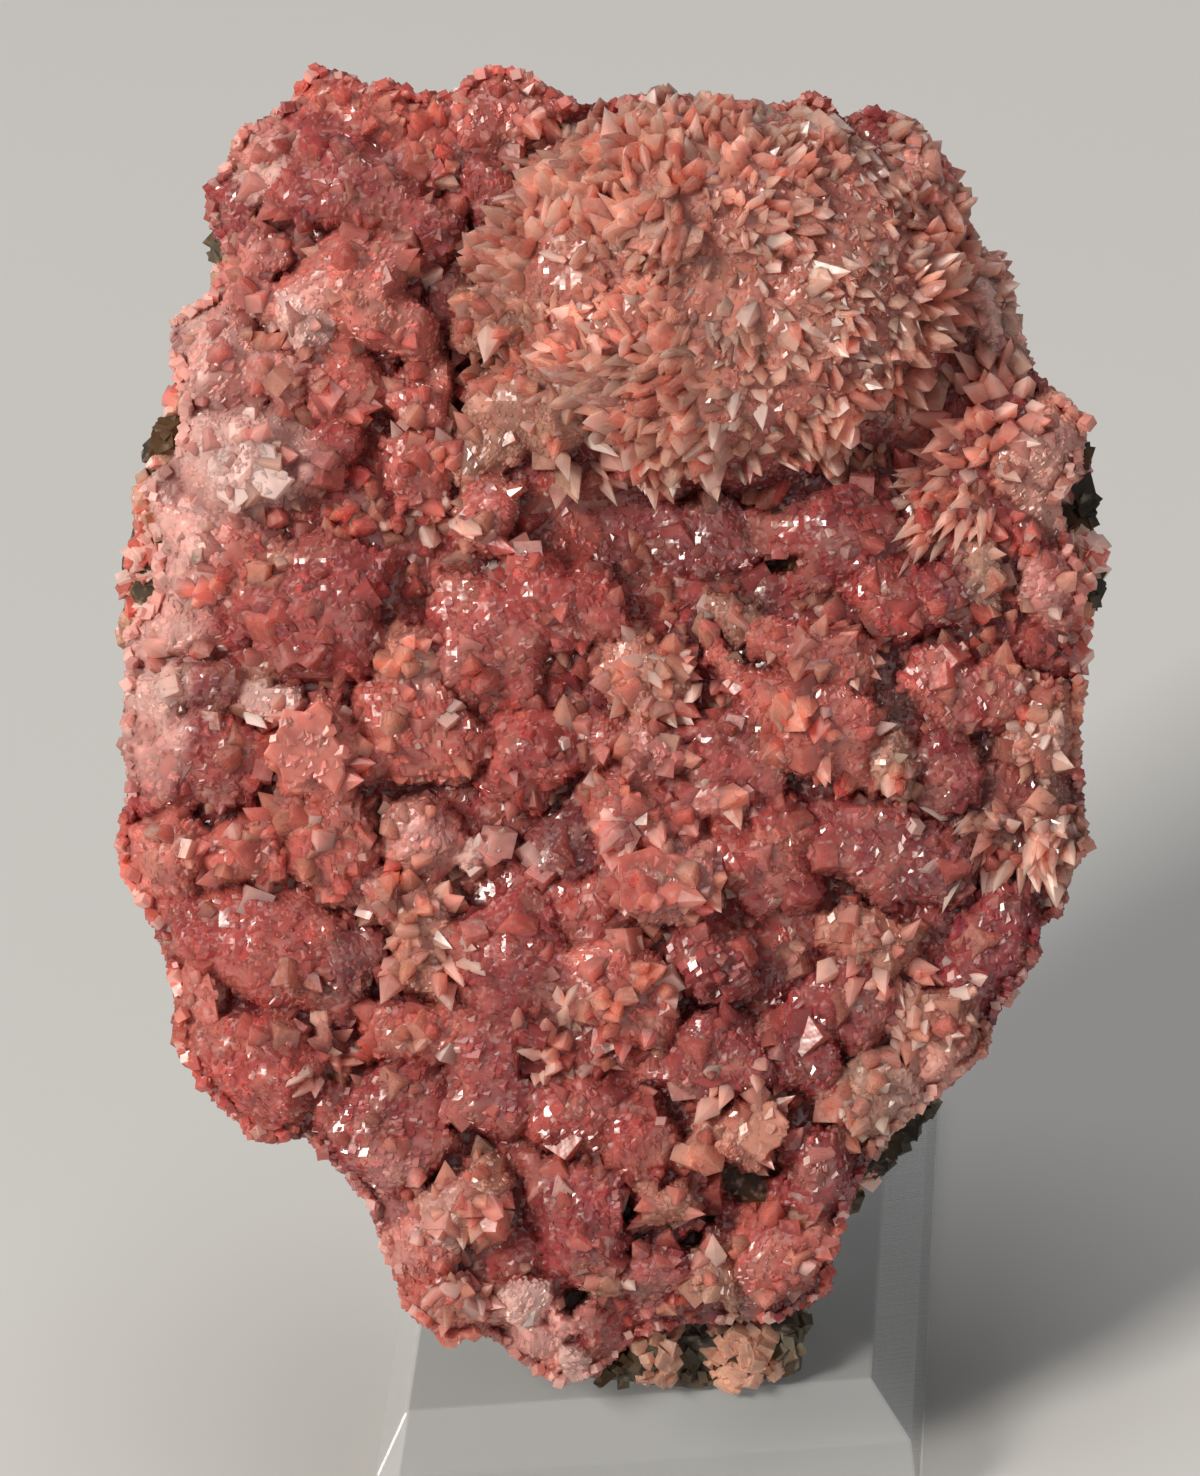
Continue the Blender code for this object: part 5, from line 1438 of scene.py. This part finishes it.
def clear_piece(name, node_name, width):
    """A clear part of the stand with its edges just taken off."""
    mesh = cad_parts[node_name].data.copy()
    bm = bmesh.new()
    bm.from_mesh(mesh)
    bmesh.ops.remove_doubles(bm, verts=bm.verts, dist=1e-6)
    bmesh.ops.dissolve_limit(bm, angle_limit=0.02, verts=bm.verts, edges=bm.edges)
    bmesh.ops.bevel(
        bm, geom=list(bm.edges), offset=width * MM, segments=2, profile=0.6, affect="EDGES")
    bm.to_mesh(mesh)
    bm.free()
    mesh.name = name
    return bpy.data.objects.new(name, mesh)


# Materials


def new_material(name):
    """A material, its node tree and its shader."""
    made = bpy.data.materials.new(name)
    made.use_nodes = True
    tree = made.node_tree
    return made, tree, tree.nodes["Principled BSDF"]


def fill(tree, made, **values):
    """Sets a node's settings and inputs; a socket that is given as a value is linked."""
    for key, value in values.items():
        if hasattr(made, key):
            setattr(made, key, value)
            continue
        socket = made.inputs[key.replace("_", " ")]
        if isinstance(value, bpy.types.NodeSocket):
            tree.links.new(value, socket)
        else:
            socket.default_value = value
    return made


def node(tree, kind, **values):
    return fill(tree, tree.nodes.new("ShaderNode" + kind), **values)


def noise_node(tree, scale, detail, offset=0.0):
    """Noise in the object's own space, moved by the offset; scale is in cells to the metre."""
    vector = node(tree, "TexCoord").outputs["Object"]
    if offset:
        move = node(tree, "VectorMath", operation="ADD")
        move.inputs[1].default_value = (offset, offset, offset)
        tree.links.new(vector, move.inputs[0])
        vector = move.outputs["Vector"]
    return node(tree, "TexNoise", Scale=scale, Detail=detail, Vector=vector).outputs["Fac"]


def ramp(tree, value, low, high, to_low, to_high):
    """A value from low to high, mapped to run from to_low to to_high."""
    made = node(
        tree, "MapRange", Value=value, From_Min=low, From_Max=high, To_Min=to_low, To_Max=to_high)
    return made.outputs["Result"]


def mix(tree, factor, a, b, blend_type="MIX"):
    """A colour mix; a and b are sockets or colours."""
    made = node(tree, "Mix", data_type="RGBA", blend_type=blend_type)
    ins = [s for s in made.inputs if s.enabled]
    for socket, value in zip(ins, (factor, a, b)):
        if isinstance(value, bpy.types.NodeSocket):
            tree.links.new(value, socket)
        else:
            socket.default_value = value
    return [s for s in made.outputs if s.enabled][0]


def bumped(tree, height, strength, distance):
    """A normal that follows a height, for a shader."""
    made = node(tree, "Bump", Strength=strength, Distance=distance, Height=height)
    return made.outputs["Normal"]


def calcite(name, clear, scatter, reach, marks, seed):
    """Calcite: tinted by its mesh, clouded and veined, rougher where it is frosted. clear is how
    much light passes straight through, scatter and reach how light spreads inside, in mm, and
    marks the growth marks on its faces."""
    made, tree, shader = new_material(name)
    tint = node(tree, "Attribute", attribute_name="tint").outputs["Vector"]
    frost = node(tree, "Attribute", attribute_name="frost").outputs["Fac"]
    cloud = noise_node(tree, 420.0, 2.0, seed)
    grain = noise_node(tree, 1900.0, 1.0, seed + 2.0)
    shade = ramp(tree, cloud, 0.32, 0.68, 0.72, 1.22)
    grey = node(tree, "CombineColor", Red=shade, Green=shade, Blue=shade).outputs["Color"]
    colour = mix(tree, 1.0, tint, grey, "MULTIPLY")
    veil = ramp(tree, grain, 0.55, 0.75, 0.0, 0.28)
    rough = ramp(tree, grain, 0.3, 0.7, 0.13, 0.28)
    frosted = ramp(tree, frost, 0.0, 1.0, 0.0, 0.34)
    total = node(tree, "Math", operation="ADD")
    tree.links.new(rough, total.inputs[0])
    tree.links.new(frosted, total.inputs[1])
    if marks:
        fill(tree, shader, Normal=bumped(tree, grain, marks, 0.0001))
    fill(
        tree, shader, Base_Color=mix(tree, veil, colour, VEIL_COLOUR),
        Roughness=total.outputs["Value"], subsurface_method="BURLEY",
        Subsurface_Weight=scatter, Subsurface_Radius=(1.0, 0.42, 0.34),
        Subsurface_Scale=reach * MM, IOR=1.6, Transmission_Weight=clear)
    return made


def rock_material():
    """Host rock: grey-green and dark grains, with limonite stains."""
    made, tree, shader = new_material("host_rock")
    broad = noise_node(tree, 150.0, 5.0)
    fine = noise_node(tree, 900.0, 4.0, 5.0)
    stain = noise_node(tree, 240.0, 3.0, 11.0)
    colour = mix(tree, ramp(tree, broad, 0.4, 0.6, 0.0, 1.0), ROCK_DARK, ROCK_GREY)
    colour = mix(tree, ramp(tree, stain, 0.46, 0.60, 0.0, 0.9), colour, ROCK_STAIN)
    colour = mix(tree, ramp(tree, fine, 0.58, 0.72, 0.0, 0.7), colour, ROCK_GRAIN)
    fill(
        tree, shader, Base_Color=colour, Roughness=ramp(tree, fine, 0.3, 0.7, 0.55, 0.95),
        Normal=bumped(tree, fine, 0.7, 0.0002))
    return made


def acrylic_material():
    """Clear acrylic with the faint haze and rubs of a used display block."""
    made, tree, shader = new_material("clear_acrylic")
    haze = ramp(tree, noise_node(tree, 60.0, 6.0), 0.45, 0.75, 0.0, 0.03)
    fill(
        tree, shader, Base_Color=(0.97, 0.985, 0.98, 1.0), Transmission_Weight=1.0, IOR=1.49,
        Roughness=haze)
    return made


def floor_material():
    """A pale, matt floor, very slightly uneven in tone."""
    made, tree, shader = new_material("pale_floor")
    uneven = ramp(tree, noise_node(tree, 3.0, 3.0), 0.3, 0.7, 0.0, 1.0)
    fill(tree, shader, Base_Color=mix(tree, uneven, *FLOOR_COLOURS), Roughness=0.75)
    return made


# The scene round the object


def floor():
    mesh = bpy.data.meshes.new("floor")
    corners = [(x * FLOOR_HALF, y * FLOOR_HALF, 0) for x, y in ((-1, -1), (1, -1), (1, 1), (-1, 1))]
    mesh.from_pydata(corners, [], [(0, 1, 2, 3)])
    obj = bpy.data.objects.new("floor", mesh)
    bpy.context.scene.collection.objects.link(obj)
    mesh.materials.append(floor_material())


def area_light(name, place, size, power, colour):
    """A soft lamp that faces the specimen."""
    data = bpy.data.lights.new(name, "AREA")
    data.shape = "RECTANGLE"
    data.size, data.size_y = size
    data.energy = power
    data.color = colour
    lamp = bpy.data.objects.new(name, data)
    aim = Vector(LIGHT_TARGET) - Vector(place)
    lamp.location = place
    lamp.rotation_euler = aim.to_track_quat("-Z", "Y").to_euler()
    bpy.context.scene.collection.objects.link(lamp)


def lights():
    """A key from the upper left as in the photograph, a weak fill, a top light and dim air."""
    area_light("key", (-1.14, -1.00, 1.20), (0.5, 0.5), 33.0, (1.0, 0.95, 0.87))
    area_light("fill", (1.2, -1.4, 0.8), (1.0, 1.0), 3.0, (1.0, 0.98, 0.96))
    area_light("top", (0.1, 0.25, 1.7), (1.0, 0.8), 9.0, (1.0, 1.0, 1.0))
    world = bpy.data.worlds.new("studio")
    bpy.context.scene.world = world
    world.use_nodes = True
    fill(
        world.node_tree, world.node_tree.nodes["Background"],
        Color=(0.92, 0.95, 1.0, 1.0), Strength=0.12)
    bpy.context.scene.view_settings.view_transform = "Standard"


def camera():
    """The photograph's camera: square to the specimen's face, so that v runs up the frame."""
    data = bpy.data.cameras.new("camera")
    data.sensor_fit = "VERTICAL"
    data.sensor_height = 36.0
    data.lens = 200.0
    cam = bpy.data.objects.new("camera", data)
    turn = Matrix([list(row) for row in FACE]).transposed().to_4x4()
    cam.matrix_world = Matrix.Translation(Vector(to_room(CAMERA_IN_FACE))) @ turn
    bpy.context.scene.collection.objects.link(cam)
    bpy.context.scene.camera = cam


def main():
    body = calcite("calcite", clear=0.0, scatter=0.6, reach=1.3, marks=0.3, seed=0.0)
    small = calcite("calcite_fine", clear=0.0, scatter=0.5, reach=1.3, marks=0.0, seed=4.0)
    bladed = calcite("calcite_bladed", clear=0.12, scatter=0.8, reach=2.2, marks=0.3, seed=8.0)
    link(crust_bed(), body, "calcite_druse")
    for obj in fine_crystals() + [rim_crystals()]:
        link(obj, small)
    link(plate_crystals(), body)
    link(plate_grains(), small)
    for obj in middling_crystals() + crown_crystals() + spray_crystals():
        link(obj, bladed)
    stone = rock_material()
    rock = link(host_rock(), stone, "rock_matrix")
    chips, grown = ledge_pieces(rock)
    link(chips, stone)
    link(grown, small)
    clear = acrylic_material()
    link(clear_piece("clear_block", "stand_base", 0.2), clear, "stand_base")
    link(clear_piece("clear_rest", "stand_rest", 0.15), clear, "stand_rest")
    floor()
    lights()
    camera()


main()
